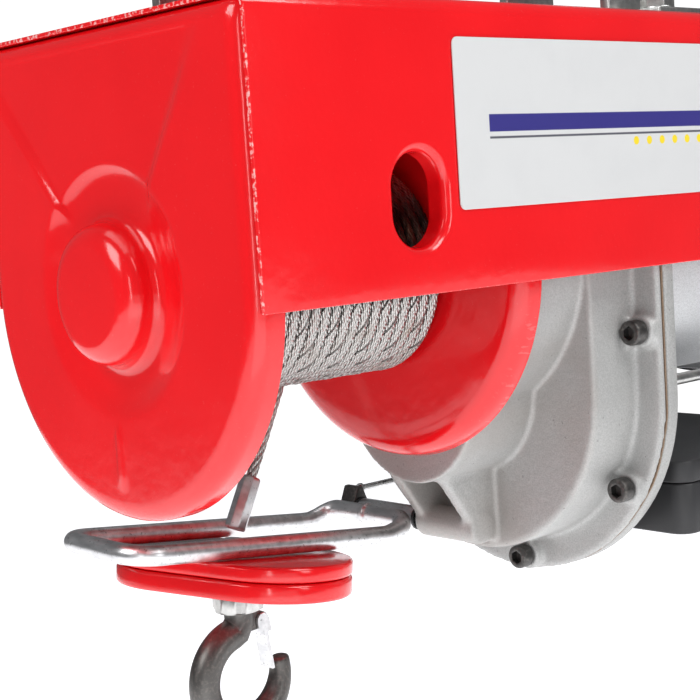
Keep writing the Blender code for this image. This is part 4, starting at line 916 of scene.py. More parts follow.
rope_tree = twisted_rope_tree()
repeat_tree = repeated_part_tree()

make_camera()


# ---------------------------------------------------------------- rope
def rope_foot():
    """Top of the ferrule, and the way the rope runs down into it."""
    direction = Vector((-0.46, 0.0, -0.888)).normalized()
    foot = Vector((HOOK[0] + 1.2, HOOK[1], STOP_TOP + 8.6))
    return foot - direction * FERRULE, direction


def make_rope_fall():
    """The free rope: it leaves the wound layer at the back and runs down into its ferrule."""
    top, direction = rope_foot()
    route = [Vector((113.0, 37.6, 9.0)), Vector((112.9, 38.8, -3.0)), Vector((111.2, 38.9, -20.5)),
             Vector((105.4, 39.2, -33.0)), Vector((97.9, 39.8, -48.8)), top - direction * 18.0,
             top - direction * 8.0, top + direction * 2.0]
    fall = make_rope("rope_fall_wire", rope_tree, smooth_path(route, 90), ROPE, wire_rope, 30)
    fall.data.transform(PLACE)
    tuple(PLACE @ route[2])
    tuple(PLACE @ top)
    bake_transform(fall)
    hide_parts("rope_fall")


def make_rope_pile():
    """The outer layer: one long helix, its pitch a little uneven, over a dark sleeve that stands for the layers
    below it and paints shade between the turns.
    """
    rng = random.Random(7)
    start, end = DRUM_START + 3.0, PILE_END - 2.6
    turns = int((end - start) / (ROPE * 1.035))
    wobble = [rng.uniform(-0.22, 0.22) for _ in range(turns + 2)]
    steps = turns * 84
    points = []
    for i in range(steps + 1):
        t = i / 84
        k = int(t)
        ease = smoothstep(t - k, 0.0, 1.0)
        x = start + (end - start) * i / steps + wobble[k] * (1 - ease) + wobble[min(k + 1, turns)] * ease
        turn = math.radians(14) - 2 * math.pi * (turns - t)
        radius = PILE_CENTRE + 0.12 * math.sin(t * 2.1)
        points.append(Vector((x, radius * math.cos(turn), radius * math.sin(turn))))
    pile = make_rope("rope_pile_wire", rope_tree, points, ROPE, wire_rope, 18)
    settle(pile, "drum", wire_rope, "rope_pile")
    # the dark sleeve under the outer layer is painted shade between the turns
    settle(lathe("rope_pile_core", hollow(DRUM_START + 0.5, PILE_END - 0.8, PILE_CORE, 32.9), soft=0.8),
           "drum", rope_core)


# ---------------------------------------------------------------- sheet frame
def channel_outline():
    """Section of the bent sheet: two panels and the top between them."""
    outer = FRAME_HALF
    inner = outer - FRAME_SHEET
    level = FRAME_RISE - FRAME_BEND
    low = CHANNEL[0].z
    outline = [(outer, low)] + arc((outer - FRAME_BEND, level), FRAME_BEND, 0, 90, 12)
    outline += arc((FRAME_BEND - outer, level), FRAME_BEND, 90, 180, 12) + [(-outer, low), (-inner, low)]
    outline += arc((FRAME_BEND - outer, level), FRAME_BEND - FRAME_SHEET, 180, 90, 12)
    outline += arc((outer - FRAME_BEND, level), FRAME_BEND - FRAME_SHEET, 90, 0, 12) + [(inner, low)]
    return outline


def slot_ring(inset, depth):
    """The slot's outline, drawn in and pushed behind the front panel."""
    half = SLOT_WIDTH / 2 - inset
    offset = (SLOT_HEIGHT - SLOT_WIDTH) / 2
    outline = arc((SLOT[0], SLOT[1] + offset), half, 0, 180, 32)
    outline += arc((SLOT[0], SLOT[1] - offset), half, 180, 360, 32)
    return [Vector((x, depth - FRAME_HALF, z)) for x, z in outline]


def make_frame():
    sheet = slab("frame_channel_sheet", channel_outline(), CHANNEL[0].x, CHANNEL[1].x, edge=0.35)
    opening = stack("slot_opening", [slot_ring(0.0, -2.0), slot_ring(0.0, 4.0)], capped=True)
    holes = [hole for x in CLAMPS for hole in bolt_holes(x)]
    sheet = bored(sheet, "DIFFERENCE", [opening] + holes)
    roll = arc((0.0, SLOT_LIP), SLOT_LIP, -90, 0, 14)
    profile = [(-1.0, 0.02)] + [(x, y + 0.02) for x, y in roll] + [(SLOT_LIP, SLOT_DEPTH - 0.5)]
    profile += [(SLOT_LIP - 0.5, SLOT_DEPTH), (SLOT_LIP - 1.2, SLOT_DEPTH - 0.3), (SLOT_LIP - 1.4, SLOT_LIP + 0.6)]
    profile += [(1.1, 2.3), (0.2, 1.4), (-1.0, 1.4)]
    rim = stack("slot_rim", [slot_ring(inset, depth) for inset, depth in profile], closed_stack=True)
    ridge = slab("bar_seat_ridge", [(-SEAT_HALF, FRAME_RISE - 1.0), (SEAT_HALF, FRAME_RISE - 1.0),
                                    (SEAT_HALF - 1.2, CHANNEL[1].z), (1.2 - SEAT_HALF, CHANNEL[1].z)], *SEAT)
    sheet = bored(sheet, "UNION", [rim, ridge])
    settle(sheet, "frame", red_panel, "frame_channel", smooth=SMOOTH)


def make_name_plate():
    low, high = PLATE
    middle = (low + high) / 2
    outline = rounded_box((middle.x, middle.z), (high.x - low.x) / 2, (high.z - low.z) / 2, PLATE_CORNER, 10)
    settle(slab("name_plate_film", outline, low.y, high.y, "Y", edge=0.12), "frame", label, "name_plate")


# ---------------------------------------------------------------- stamped end cover
COVER_POINTS = 224


def cover_ring(inset, along):
    """Half circle below the axis, straight sides and a flat top with round corners above it."""
    half = COVER_HALF - inset
    top = COVER_TOP - inset
    corner = max(4.4 - inset * 0.4, 2.2)
    points = []
    for i in range(COVER_POINTS):
        turn = 2 * math.pi * i / COVER_POINTS
        side, up = math.cos(turn), math.sin(turn)
        if up <= 0:
            points.append(Vector((along, half * side, half * up)))
            continue
        reach = min(half / max(abs(side), 1e-9), top / up)
        first, second = reach * side, reach * up
        over_first = abs(first) - (half - corner)
        over_second = second - (top - corner)
        if over_first > 0 and over_second > 0:
            length = math.hypot(over_first, over_second)
            first = math.copysign(half - corner + corner * over_first / length, first)
            second = top - corner + corner * over_second / length
        points.append(Vector((along, first, second)))
    return points


def circle(radius, along):
    turns = [2 * math.pi * i / COVER_POINTS for i in range(COVER_POINTS)]
    return [Vector((along, radius * math.cos(t), radius * math.sin(t))) for t in turns]


def side_of(line, point):
    """Signed distance of a point from a line through two places, in the cover's face."""
    (y1, z1), (y2, z2) = line
    length = math.hypot(y2 - y1, z2 - z1)
    return ((point.y - y1) * (z2 - z1) - (point.z - z1) * (y2 - y1)) / length


def crease_depth(point):
    """How far the face sinks between the two creases that run up from the recess."""
    if point.z < 20:
        return 0.0
    left = smoothstep(side_of(CREASE_LEFT, point), -0.7, 0.9)
    right = smoothstep(-side_of(CREASE_RIGHT, point), -2.2, 2.2)
    fade = 1.0 - 0.55 * smoothstep(point.z, 58.0, 84.0)
    return 1.7 * left * right * fade * smoothstep(point.z, 20.0, 34.0)


def rib_height(point):
    """A short pressed rib under the recess."""
    along = smoothstep(point.z, -69.0, -63.0) * smoothstep(point.z, -44.0, -50.0)
    return 0.9 * along * math.exp(-((point.y - 1.5) / 1.5) ** 2)


def cover_skin(wall):
    """Rings of one side of the stamping, from its rear rim in to the boss's middle."""
    fillet = COVER_FILLET - wall
    rings = [cover_ring(wall, COVER_REAR), cover_ring(wall, COVER_FACE + COVER_FILLET + 0.4)]
    for step in range(11):
        turn = math.radians(9.0 * step)
        rings.append(cover_ring(wall + fillet * (1 - math.cos(turn)),
                                COVER_FACE + wall + fillet * (1 - math.sin(turn))))
    edge = rings[-1]
    face = circle(RECESS, COVER_FACE + wall)
    for step in range(1, 27):
        t = step / 27
        rings.append([a.lerp(b, t) for a, b in zip(edge, face)])
    floor = COVER_FACE + RECESS_DEPTH
    for step in range(13):
        t = step / 12
        steep = (1 - (1 - min(t * 1.12, 1.0)) ** 1.7) * smoothstep(t, -0.16, 0.16)
        ring = circle(RECESS - t * RECESS_RUN, COVER_FACE + wall)
        for point in ring:
            top = smoothstep(point.z / RECESS, 0.30, 0.62)
            point.x += RECESS_DEPTH * (steep * top + smoothstep(t, 0.0, 1.0) * (1 - top))
        rings.append(ring)
    profile = arc((floor - BOSS_ROOT, BOSS_RADIUS + BOSS_ROOT), BOSS_ROOT + wall, 0, -90, 9)
    profile += arc((BOSS_FACE + BOSS_EDGE, BOSS_RADIUS - BOSS_EDGE), BOSS_EDGE - wall, 90, 180, 12)
    rings += [circle(radius, along) for along, radius in profile]
    rings += [circle(radius, BOSS_FACE + wall) for radius in (11.0, 5.0)]
    for ring in rings[12:]:
        for point in ring:
            outside = smoothstep(math.hypot(point.y, point.z), 33.0, 43.0)
            point.x += crease_depth(point) * outside - rib_height(point)
    return rings + [[Vector((BOSS_FACE + wall, 0.0, 0.0))]]


def make_end_cover():
    skins = list(reversed(cover_skin(0.0))) + cover_skin(COVER_SHEET)
    settle(stack("end_cover_stamping", skins, sharp=50.0), "frame", red_cover, "end_cover")


# ---------------------------------------------------------------- drum
def make_flanges():
    left = DRUM_START - 2.2
    settle(lathe("drum_flange_left_disc", hollow(left, DRUM_START, 74.0, 12.3), soft=0.5),
           "drum", red_plain, "drum_flange_left")
    outer = [Vector(p) for p in ((DRUM_END + 0.02, 67.1), (DRUM_END + 0.7, 70.9), (DRUM_END + 3.0, 74.1),
                                 (DRUM_END + 6.5, 76.2), (DRUM_END + 11.3, 77.1))]
    inner = [Vector(p) for p in ((DRUM_END + 11.3, 74.9), (DRUM_END + 6.8, 74.0), (DRUM_END + 4.2, 72.2),
                                 (DRUM_END + 2.6, 69.5), (DRUM_END + 2.2, 66.1))]
    profile = [(DRUM_END, 12.8), (DRUM_END, 50.0), (DRUM_END, 62.0)]
    profile += [tuple(p) for p in smooth_path(outer, 22)[:-1]]
    profile += arc((DRUM_END + 10.2, 76.0), 1.1, 75, -75, 6)
    profile += [tuple(p) for p in smooth_path(inner, 20)[1:]] + [(DRUM_END + 2.2, 50.0), (DRUM_END + 2.2, 12.8)]
    disc = lathe("drum_flange_right_disc", profile, count=192, sharp=55.0)
    settle(disc, "drum", red_flange, "drum_flange_right")


# ---------------------------------------------------------------- gearbox
def stadium(half, low, high, steps=48):
    """Upright outline with round ends about two centres on the zero line."""
    return arc((0.0, high), half, 0, 180, steps) + arc((0.0, low), half, 180, 360, steps)


def screw_places():
    """Bottom screw first, then three up each side."""
    turn = math.radians(32.0)
    high = (SCREW_CIRCLE * math.cos(turn), SCREW_CIRCLE * math.sin(turn))
    return [SCREW_BOTTOM] + [(side * y, z) for side in (-1, 1) for y, z in (SCREW_LOW, SCREW_SIDE, high)]


def web_outline():
    """Side view of a lever web, from the housing's face down to the sleeve."""
    inside, shoulder = HOUSING_FACE + 1.5, -STAGE - LOBE[1] / 2
    x, z = LEVER
    start = LOBE[0] + 0.6
    return [(inside, shoulder), (inside, z - 6.9), (x - 2.3, z - 6.5), (x - 6.2, z - 3.45), (x - 6.9, z + 3.45),
            ((x - 6.9 + start) / 2, (z + 3.45 - 80.2) / 2), (start, -80.2), (start, shoulder)]


def cast_over(thing, voxel, passes, triangles):
    """Round every edge as a casting's are: remesh finely, smooth, then thin out the flat parts."""
    remesh = thing.modifiers.new("cast_remesh", "REMESH")
    remesh.mode = "VOXEL"
    remesh.voxel_size = voxel
    thing = plain_mesh(thing)
    smooth = thing.modifiers.new("cast_smooth", "SMOOTH")
    smooth.factor = 0.5
    smooth.iterations = passes
    thing = plain_mesh(thing)
    count = sum(len(face.vertices) - 2 for face in thing.data.polygons)
    thin = thing.modifiers.new("cast_thin", "DECIMATE")
    thin.ratio = min(1.0, triangles / count)
    return plain_mesh(thing)


def make_gear_housing():
    body = slab("gear_housing_casting", stadium(HOUSING_HALF, -HOUSING_LOW, 0.0), HOUSING_FACE, HOUSING_STEP + 1)
    flange = slab("flange", stadium(FLANGE_HALF, -FLANGE_LOW, 0.0), HOUSING_STEP, HOUSING_MATE)
    hub = lathe("hub", pole_rod(HUB[0], HOUSING_FACE + 1, HUB[1]))
    lobe = lathe("lobe", pole_rod(LOBE[0], HOUSING_FACE + 1, LOBE[1]), centre=(0.0, -STAGE), count=96)
    webs = [slab("web", web_outline(), low, low + 5.0, "Y") for low in (-12.2, 15.4)]
    sleeve = lathe("sleeve", pole_rod(-12.8, 21.0, 6.9), "Y", LEVER, 64)
    bosses = [lathe("boss", pole_rod(190.5, HOUSING_MATE, 6.4), "X", place, 48) for place in screw_places()]
    body = bored(body, "UNION", [flange, hub, lobe] + webs + [sleeve] + bosses)
    room = slab("room", stadium(HOUSING_HALF - WALL, -HOUSING_LOW, 0.0), HOUSING_FACE + WALL, HOUSING_MATE + 5)
    bores = [lathe("main_bore", pole_rod(HUB[0] + 5, HOUSING_FACE + 9, 26.3)),
             lathe("shaft_bore", pole_rod(HUB[0] - 5, HUB[0] + 10, 14.0)),
             lathe("small_bore", pole_rod(HOUSING_FACE - 12, HOUSING_FACE + 9, 16.3), centre=(0.0, -STAGE)),
             lathe("pin_bore", pole_rod(-9.3, 26.0, 4.3), "Y", LEVER, 48)]
    holes = [lathe("hole", pole_rod(HOUSING_STEP - 15, HOUSING_MATE + 5, 3.3), "X", place, 32)
             for place in screw_places()]
    body = bored(body, "DIFFERENCE", [room] + bores + holes)
    settle(cast_over(body, 1.15, 5, 190000), "frame", housing_cast, "gear_housing", smooth=60.0)


def make_gasket():
    """A fibre gasket squeezed a little unevenly past the flange's edge."""
    rng = random.Random(3)
    outline = stadium(FLANGE_HALF, -FLANGE_LOW, 0.0, 70)
    wave = [rng.uniform(-0.9, 0.1) for _ in outline]
    ragged = []
    for i, (y, z) in enumerate(outline):
        shift = (wave[i - 1] + wave[i] + wave[(i + 1) % len(wave)]) / 3
        middle = min(max(z, -FLANGE_LOW), 0.0)
        reach = math.hypot(y, z - middle)
        scale = (reach + shift) / reach
        ragged.append((y * scale, middle + (z - middle) * scale))
    ring = slab("gasket_sheet", ragged, 198.32, 199.08)
    room = slab("room", stadium(HOUSING_HALF - WALL, -HOUSING_LOW, 0.0), 190.0, 205.0)
    holes = [lathe("hole", pole_rod(190.0, 205.0, 3.3), "X", place, 32) for place in screw_places()]
    settle(bored(ring, "DIFFERENCE", [room] + holes), "frame", fibre, "housing_gasket", smooth=SMOOTH)


def make_gear_cover():
    plate = slab("gear_cover_plate", stadium(FLANGE_HALF, -FLANGE_LOW, 0.0), PLATE_START, PLATE_END, edge=1.1)
    boss = lathe("boss", pole_rod(195.9, PLATE_START + 1, 20.0), centre=(0.0, -STAGE), count=64)
    plate = bored(plate, "UNION", [boss])
    tools = [lathe("bore", pole_rod(190.0, 215.0, 9.0), count=64),
             lathe("seat", pole_rod(189.0, PLATE_END - 2.0, 6.3), centre=(0.0, -STAGE), count=64)]
    tools += [lathe("hole", pole_rod(190.0, PLATE_END - 1.2, 3.3), "X", place, 32) for place in screw_places()]
    settle(bored(plate, "DIFFERENCE", tools), "frame", housing_plain, "gear_cover", smooth=SMOOTH)


def socket_screw():
    """Cap head screw along X at zero: knurled head towards -X, six-sided socket, plain shank."""
    count = 60

    def ring(along, radius, ridge=0.0, sides=0):
        points = []
        for i in range(count):
            turn = 2 * math.pi * i / count
            reach = radius + (ridge if i % 2 else 0.0)
            if sides:
                reach = radius / math.cos((turn + math.pi / sides) % (2 * math.pi / sides) - math.pi / sides)
            points.append(Vector((along, reach * math.cos(turn), reach * math.sin(turn))))
        return points
    rings = [[Vector((-2.6, 0.0, 0.0))], ring(-3.0, 2.45, sides=6), ring(-5.9, 2.5, sides=6),
             ring(-6.0, 2.75, sides=6), ring(-6.0, 3.6), ring(-5.85, 4.35), ring(-5.4, 4.8),
             ring(-5.1, 4.82, 0.16), ring(-0.8, 4.82, 0.16), ring(-0.4, 4.8), ring(0.0, 4.6), ring(0.0, 3.0),
             ring(13.2, 3.0), ring(13.6, 2.6), [Vector((13.6, 0.0, 0.0))]]
    return stack("socket_screw", rings, sharp=32.0)


def make_screws():
    places = [(SCREW_SEAT, y, z) for y, z in screw_places()]
    screws = repeat_part("cover_screws", repeat_tree, socket_screw(), places, socket_black)
    settle(screws, "frame", socket_black, *[f"cover_screw_{i}" for i in range(1, 6)])


# ---------------------------------------------------------------- motor
def tie_rod_places():
    return [(y * TIE_ROD, z * TIE_ROD) for y in (-1, 1) for z in (-1, 1)]


def make_motor():
    start, end, radius = MOTOR
    settle(lathe("motor_housing_tube", hollow(start, end, radius, radius - MOTOR_WALL), soft=0.8),
           "frame", motor_cast, "motor_housing")
    for name, low in (("motor_bell_front", PLATE_END + GAP), ("motor_bell_rear", end + GAP)):
        bell = slab(name + "_casting", rounded_box((0.0, 0.0), BELL_HALF, BELL_HALF, BELL_CORNER), low,
                    low + BELL_THICKNESS, edge=1.4)
        holes = [lathe("hole", pole_rod(low - 5, low + 15, 2.8), "X", place, 32)
                 for place in tie_rod_places()]
        holes.append(lathe("bore", pole_rod(low - 5, low + 15, 14.3), count=64))
        settle(bored(bell, "DIFFERENCE", holes), "frame", motor_cast, name, smooth=SMOOTH)
    shank = [(0.0, 0), (0.0, 2.4), (120.9, 2.4), (120.9, 4.6), (121.2, 4.95), (124.0, 4.95), (124.4, 4.6),
             (124.4, 0)]
    rod = lathe("tie_rod", shank, count=32)
    places = [(PLATE_END + GAP, y, z) for y, z in tie_rod_places()]
    rods = repeat_part("tie_rods", repeat_tree, rod, places, bolt_plate)
    settle(rods, "frame", bolt_plate, "tie_rod_1", "tie_rod_2")


def make_fan_cover():
    start, end, outer = FAN_COVER_START, FAN_COVER_END, FAN_COVER_RADIUS
    shell = [(start, outer), (end - 8.0, outer)] + arc((end - 8.0, outer - 8.0), 8.0, 80, 0, 9)
    shell += [(end, 22.0), (end - 1.5, 22.0), (end - 1.5, outer - 8.6)]
    shell += arc((end - 8.0, outer - 8.0), 6.5, 10, 80, 8) + [(end - 8.0, outer - 1.5), (start, outer - 1.5)]
    cover = lathe("fan_cover_shell", shell, sharp=40.0)
    tools = [lathe("notch", pole_rod(start - 2, start + 5, 5.6), "X", place, 40) for place in tie_rod_places()]
    cover = bored(cover, "DIFFERENCE", tools)
    vent = slab("vent", rounded_slot(13.0, 1.6), end - 6, end + 6)
    places = []
    for radius, count in ((32.0, 16), (46.0, 24)):
        places += [(radius, 2 * math.pi * i / count) for i in range(count)]
    vents = []
    for radius, turn in places:
        copy = new_object("vent_cut", vent.data.copy())
        copy.data.transform(Matrix.Rotation(turn, 4, "X") @ Matrix.Translation((0.0, radius, 0.0)))
        vents.append(copy)
    bpy.data.objects.remove(vent, do_unlink=True)
    cover = bored(cover, "DIFFERENCE", [merge("vents", vents)])
    rings = [lathe("guard_ring", hollow(end - 1.5, end - 0.2, r, r - 1.1), soft=0.3) for r in (22.2, 16.0, 10.0)]
    bars = []
    for i in range(8):
        turn = math.radians(45 * i)
        spoke = slab("guard_bar", [(9.2, -0.5), (22.0, -0.5), (22.0, 0.5), (9.2, 0.5)], end - 1.4, end - GAP)
        spoke.data.transform(Matrix.Rotation(turn, 4, "X"))
        bars.append(spoke)
    settle(cover, "frame", plastic, "fan_cover", smooth=SMOOTH)
    settle(merge("fan_guard", rings + bars), "frame", plastic)


def rounded_slot(length, half):
    """Outline of one vent."""
    reach = length / 2 - half
    return arc((reach, 0.0), half, -90, 90, 8) + arc((-reach, 0.0), half, 90, 270, 8)


# ---------------------------------------------------------------- electrical box
def box_outline(inset=0.0):
    middle = ((BOX[0] + BOX[1]) / 2, 0.0)
    return rounded_box(middle, (BOX[1] - BOX[0]) / 2 - inset, BOX_HALF - inset, BOX_CORNER - inset)


def make_electrical_box():
    for name, low, high, hollow_low, hollow_high in (
            ("electrical_box", BOX_SEAM + GAP, BOX_TOP, BOX_SEAM - 5, BOX_TOP - BOX_WALL),
            ("electrical_box_lid", BOX_BOTTOM, BOX_SEAM, BOX_BOTTOM + BOX_WALL, BOX_SEAM + 5)):
        shell = slab(name + "_moulding", box_outline(), low, high, "Z", edge=0.8)
        shell = bored(shell, "DIFFERENCE", [slab("room", box_outline(BOX_WALL), hollow_low, hollow_high, "Z"),
                                            lathe("rod_hole", pole_rod(214.0, 231.0, 1.8), "X", ROD_PLACE, 32)])
        settle(shell, "frame", plastic, name, smooth=SMOOTH)
    screws = [(x, y, BOX_BOTTOM) for x in (227.5, 322.5) for y in (-61.5, 61.5)]
    profile = [(0.05, 0), (0.05, 1.2), (0.05, 2.6), (0.35, 3.0), (1.2, 3.0), (1.2, 0)]
    head = lathe("lid_screw", profile, "Z", count=32)
    settle(repeat_part("lid_screws", repeat_tree, head, screws, bolt_plate), "frame", bolt_plate)
    neck = lathe("box_neck_casting", hollow(BOX_TOP + GAP, -62.3, 17.0, 8.5), "Z", NECK, 96)
    seat = lathe("seat", pole_rod(MOTOR[0] - 5, MOTOR[1] + 5, MOTOR[2] + GAP), count=192)
    settle(bored(neck, "DIFFERENCE", [seat]), "frame", motor_cast, "box_neck", smooth=SMOOTH)
    for i, y in enumerate(GLANDS):
        make_gland(f"cable_gland_{i + 1}", BOX[1] + GAP, (y, (BOX_TOP + BOX_SEAM) / 2 + 0.2))


def make_gland(name, start, place):
    """Six-sided nut against the box, and a tapering cap with ribs to grip."""
    nut = [(0.0, 4.0), (0.0, 7.6), (0.6, 8.2), (4.4, 8.2), (5.0, 7.6), (5.0, 4.0)]
    cap = [(4.0, 4.0), (4.0, 6.6), (12.0, 6.4), (15.0, 5.6), (17.0, 4.6), (17.0, 4.0)]
    pieces = [lathe("gland_nut", [(start + x, r) for x, r in nut], "X", place, 6),
              lathe("gland_cap", [(start + x, r) for x, r in cap], "X", place, 48, soft=0.4)]
    for k in range(16):
        rib = slab("gland_rib", [(6.3, -0.45), (6.95, -0.3), (6.95, 0.3), (6.3, 0.45)], start + 5.6, start + 11.6)
        rib.data.transform(Matrix.Translation((0.0, *place)) @ Matrix.Rotation(2 * math.pi * k / 16, 4, "X"))
        pieces.append(rib)
    settle(merge(name + "_set", pieces), "frame", plastic, name)


# ---------------------------------------------------------------- limit lever
def bail_points():
    start, run, rise = BAIL_KICK

    def height(x):
        kick = min(max(0.0, (x - start) / run), 1.0)
        return BAIL_HEIGHT - BAIL_SLOPE * (x - BAIL_LEFT) + rise * kick ** 2
    right = LEVER[0] - BAIL_CLEAR - BAIL_WIRE
    corner, small = BAIL_CORNER, 0.6 * BAIL_CORNER
    flat = arc((BAIL_LEFT + corner, BAIL_BACK - corner), corner, 180, 90, 14)
    straight = right - BAIL_LEFT - 1.7 * corner
    flat += [(BAIL_LEFT + corner + k * straight / 30, BAIL_BACK) for k in range(1, 30)]
    flat += arc((right - small, BAIL_BACK - small), small, 90, 0, 10)
    flat += arc((right - small, BAIL_FRONT + small), small, 0, -90, 10)
    flat += [(right - 0.7 * corner - k * straight / 30, BAIL_FRONT) for k in range(1, 30)]
    flat += arc((BAIL_LEFT + corner, BAIL_FRONT + corner), corner, 270, 180, 14)
    return [Vector((x, y, height(x))) for x, y in flat]


def make_bail():
    points = bail_points()
    loop = pipe("bail_wire", points, BAIL_WIRE, 28, closed=True)
    middle = (BAIL_FRONT + BAIL_BACK) / 2
    right = max(points, key=lambda p: p.x)
    bulge = [(-2.6, 3.6), (-1.6, 4.5), (0.0, 4.85), (1.6, 4.5), (2.6, 3.6), (1.5, 3.0), (-1.5, 3.0)]
    bead = lathe("bail_weld", [(middle + y, r) for y, r in bulge], "Y", (right.x, right.z), 40)
    settle(merge("bail_loop", [loop, bead]), "lever", plated, "bail")


def make_lever():
    make_bail()
    sleeve = hollow(25.4, 60.2, 4.9, 4.3)
    settle(lathe("lever_bush_tube", sleeve, "Y", LEVER, 64, soft=0.25), "lever", plated, "lever_bush")
    caps = [lathe("bush_cap", hollow(low, low + 1.3, 5.1, 4.3), "Y", LEVER, 64, soft=0.3)
            for low in (24.0, 60.3)]
    settle(merge("bush_caps", caps), "lever", plastic)
    low, high = (corner.y for corner in span("lever_pin"))
    pin = [(low, 0), (low, 3.4), (low + 0.6, 3.95), (high - 0.6, 3.95), (high, 3.4), (high, 0)]
    settle(lathe("lever_pin_rod", pin, "Y", LEVER, 48), "lever", bright_pin, "lever_pin")
    x, z = LEVER
    outline = [(x - 5.6, z)] + arc((x, z), 5.6, 200, 340, 20) + [(x + 5.6, z)]
    outline += [(x + 1.4, z + 10.0), (x - 1.4, z + 10.0)]
    arm = slab("trip_arm_plate", soften(outline, 0.8), ARM[0].y, ARM[1].y, "Y", edge=0.4)
    arm = bored(arm, "DIFFERENCE", [lathe("bore", pole_rod(55.0, 80.0, 4.3), "Y", LEVER, 48)])
    settle(arm, "lever", socket_black, "trip_arm", smooth=SMOOTH)
    head, end = (corner.x for corner in span("switch_rod"))
    rod = [(head, 0), (head, 2.0), (head + 0.4, 2.35), (head + 1.8, 2.35), (head + 2.2, 2.1), (head + 2.2, 1.45),
           (end - 0.5, 1.45), (end, 1.0), (end, 0)]
    settle(lathe("switch_rod_pin", rod, "X", ROD_PLACE, 32), "switch_rod", bright_pin, "switch_rod")


# ---------------------------------------------------------------- hook and stop block
def tilt_about_seat():
    """Lean of the stop plates, which lie against the sloping bail."""
    seat = Matrix.Translation((HOOK[0], HOOK[1], STOP_TOP))
    return seat @ Matrix.Rotation(math.atan(BAIL_SLOPE), 4, "Y") @ seat.inverted()


def stop_outline():
    turn = math.radians(110.0)
    flat = arc((19.0, 0.0), 31.0, -90, 90, 36) + arc((-19.0, 0.0), 31.0, 90, 270, 36)
    return [(HOOK[0] + a * math.cos(turn) - b * math.sin(turn), HOOK[1] + a * math.sin(turn) + b * math.cos(turn))
            for a, b in flat]


def make_stop_block():
    tilt = tilt_about_seat()
    for name, (low, high) in zip(("stop_plate_upper", "stop_plate_lower"), STOP_LAYERS):
        plate = slab(name + "_block", stop_outline(), low, high, "Z", edge=1.5)
        plate = bored(plate, "DIFFERENCE", [lathe("bore", pole_rod(low - 5, high + 5, 8.0), "Z", HOOK, 64)])
        plate.data.transform(tilt)
        settle(plate, "hook_block", red_plain, name, smooth=SMOOTH)
    base = STOP_TOP + GAP
    profile = [(0.0, 0), (0.0, 9.6), (0.4, 10.0), (1.8, 10.0), (2.5, 9.7), (3.2, 8.2), (3.6, 4.6), (4.0, 4.1),
               (4.8, 3.9), (4.8, 0)]
    collar = lathe("rope_collar_washer", [(base + z, r) for z, r in profile], "Z", HOOK, 96, sharp=50.0)
    collar.data.transform(tilt)
    settle(collar, "hook_block", plated, "rope_collar")


def make_ferrule():
    """Pressed sleeve: eight flats along it, rounded at both ends."""
    top, direction = rope_foot()
    turn = Vector((0.0, 0.0, 1.0)).rotation_difference(direction).to_matrix().to_4x4()
    rings = []
    for along, scale in ((0.0, 0.70), (0.0, 0.86), (0.5, 0.95), (1.2, 1.0), (FERRULE - 1.2, 1.0),
                         (FERRULE - 0.5, 0.95), (FERRULE, 0.86)):
        ring = []
        for i in range(64):
            angle = 2 * math.pi * i / 64
            flat = 1.0 / math.cos((angle + math.pi / 8) % (math.pi / 4) - math.pi / 8)
            radius = min(4.17 * flat, 4.46) * scale
            ring.append(top + turn @ Vector((radius * math.cos(angle), radius * math.sin(angle), along)))
        rings.append(ring)
    settle(stack("rope_ferrule_sleeve", rings, capped=True, sharp=28.0), "hook_block", plated, "rope_ferrule")


def planar_sweep(name, points, radii, count):
    """A round bar of changing thickness along points of one upright X-Z plane, with a domed end."""
    rings = []
    for i, point in enumerate(points):
        ahead = points[min(i + 1, len(points) - 1)] - points[max(i - 1, 0)]
        normal = Vector((ahead.z, 0.0, -ahead.x)).normalized()
        turns = [2 * math.pi * k / count for k in range(count)]
        rings.append([point + (normal * math.cos(t) + Vector((0.0, math.sin(t), 0.0))) * radii[i] for t in turns])
    return stack(name, rings, capped=True, sharp=60.0)


def make_hook():
    nut_low, nut_top = (corner.z for corner in span("hook_nut"))
    neck = nut_low - HOOK_NECK
    bowl = HOOK_BOWL + HOOK_WIRE
    centre_z = neck - bowl
    points = [Vector((HOOK[0], HOOK[1], z)) for z in (STOP_TOP - 1.6, STOP_TOP - 2.2, nut_low - 1.0, neck + 4.0)]
    radii = [5.2, 6.0, 6.0, 6.0]
    for degrees in range(98, 371, 4):
        turn = math.radians(degrees)
        points.append(Vector((HOOK[0] + bowl * math.cos(turn), HOOK[1], centre_z + bowl * math.sin(turn))))
        fade = max(0.0, (degrees - HOOK_TAPER) / 80)
        radii.append(HOOK_WIRE + (HOOK_TIP - HOOK_WIRE) * fade)
    last = points[-1]
    ahead = (points[-1] - points[-2]).normalized()
    for reach, size in ((1.0, 0.95), (2.0, 0.75), (2.6, 0.4)):
        points.append(last + ahead * reach * 0.5)
        radii.append(HOOK_TIP * size)
    body = planar_sweep("hook_forging", points, radii, 36)
    pivot = Vector((HOOK[0] + 9.4, HOOK[1], neck + 3.0))
    ear = arc((pivot.x, pivot.z), EAR_RADIUS, -90, 90, 24)
    ear += [(HOOK[0], pivot.z + EAR_RADIUS), (HOOK[0], pivot.z - EAR_RADIUS)]
    lug = slab("hook_ear", ear, HOOK[1] - 2.5, HOOK[1] + 2.5, "Y")
    body = bored(body, "UNION", [lug])
    hole = lathe("ear_hole", pole_rod(HOOK[1] - 20, HOOK[1] + 20, 1.8), "Y", (pivot.x, pivot.z), 32)
    body = bored(body, "DIFFERENCE", [hole])
    settle(body, "hook", forged, "hook", smooth=50.0)
    make_hook_nut(nut_low, nut_top)


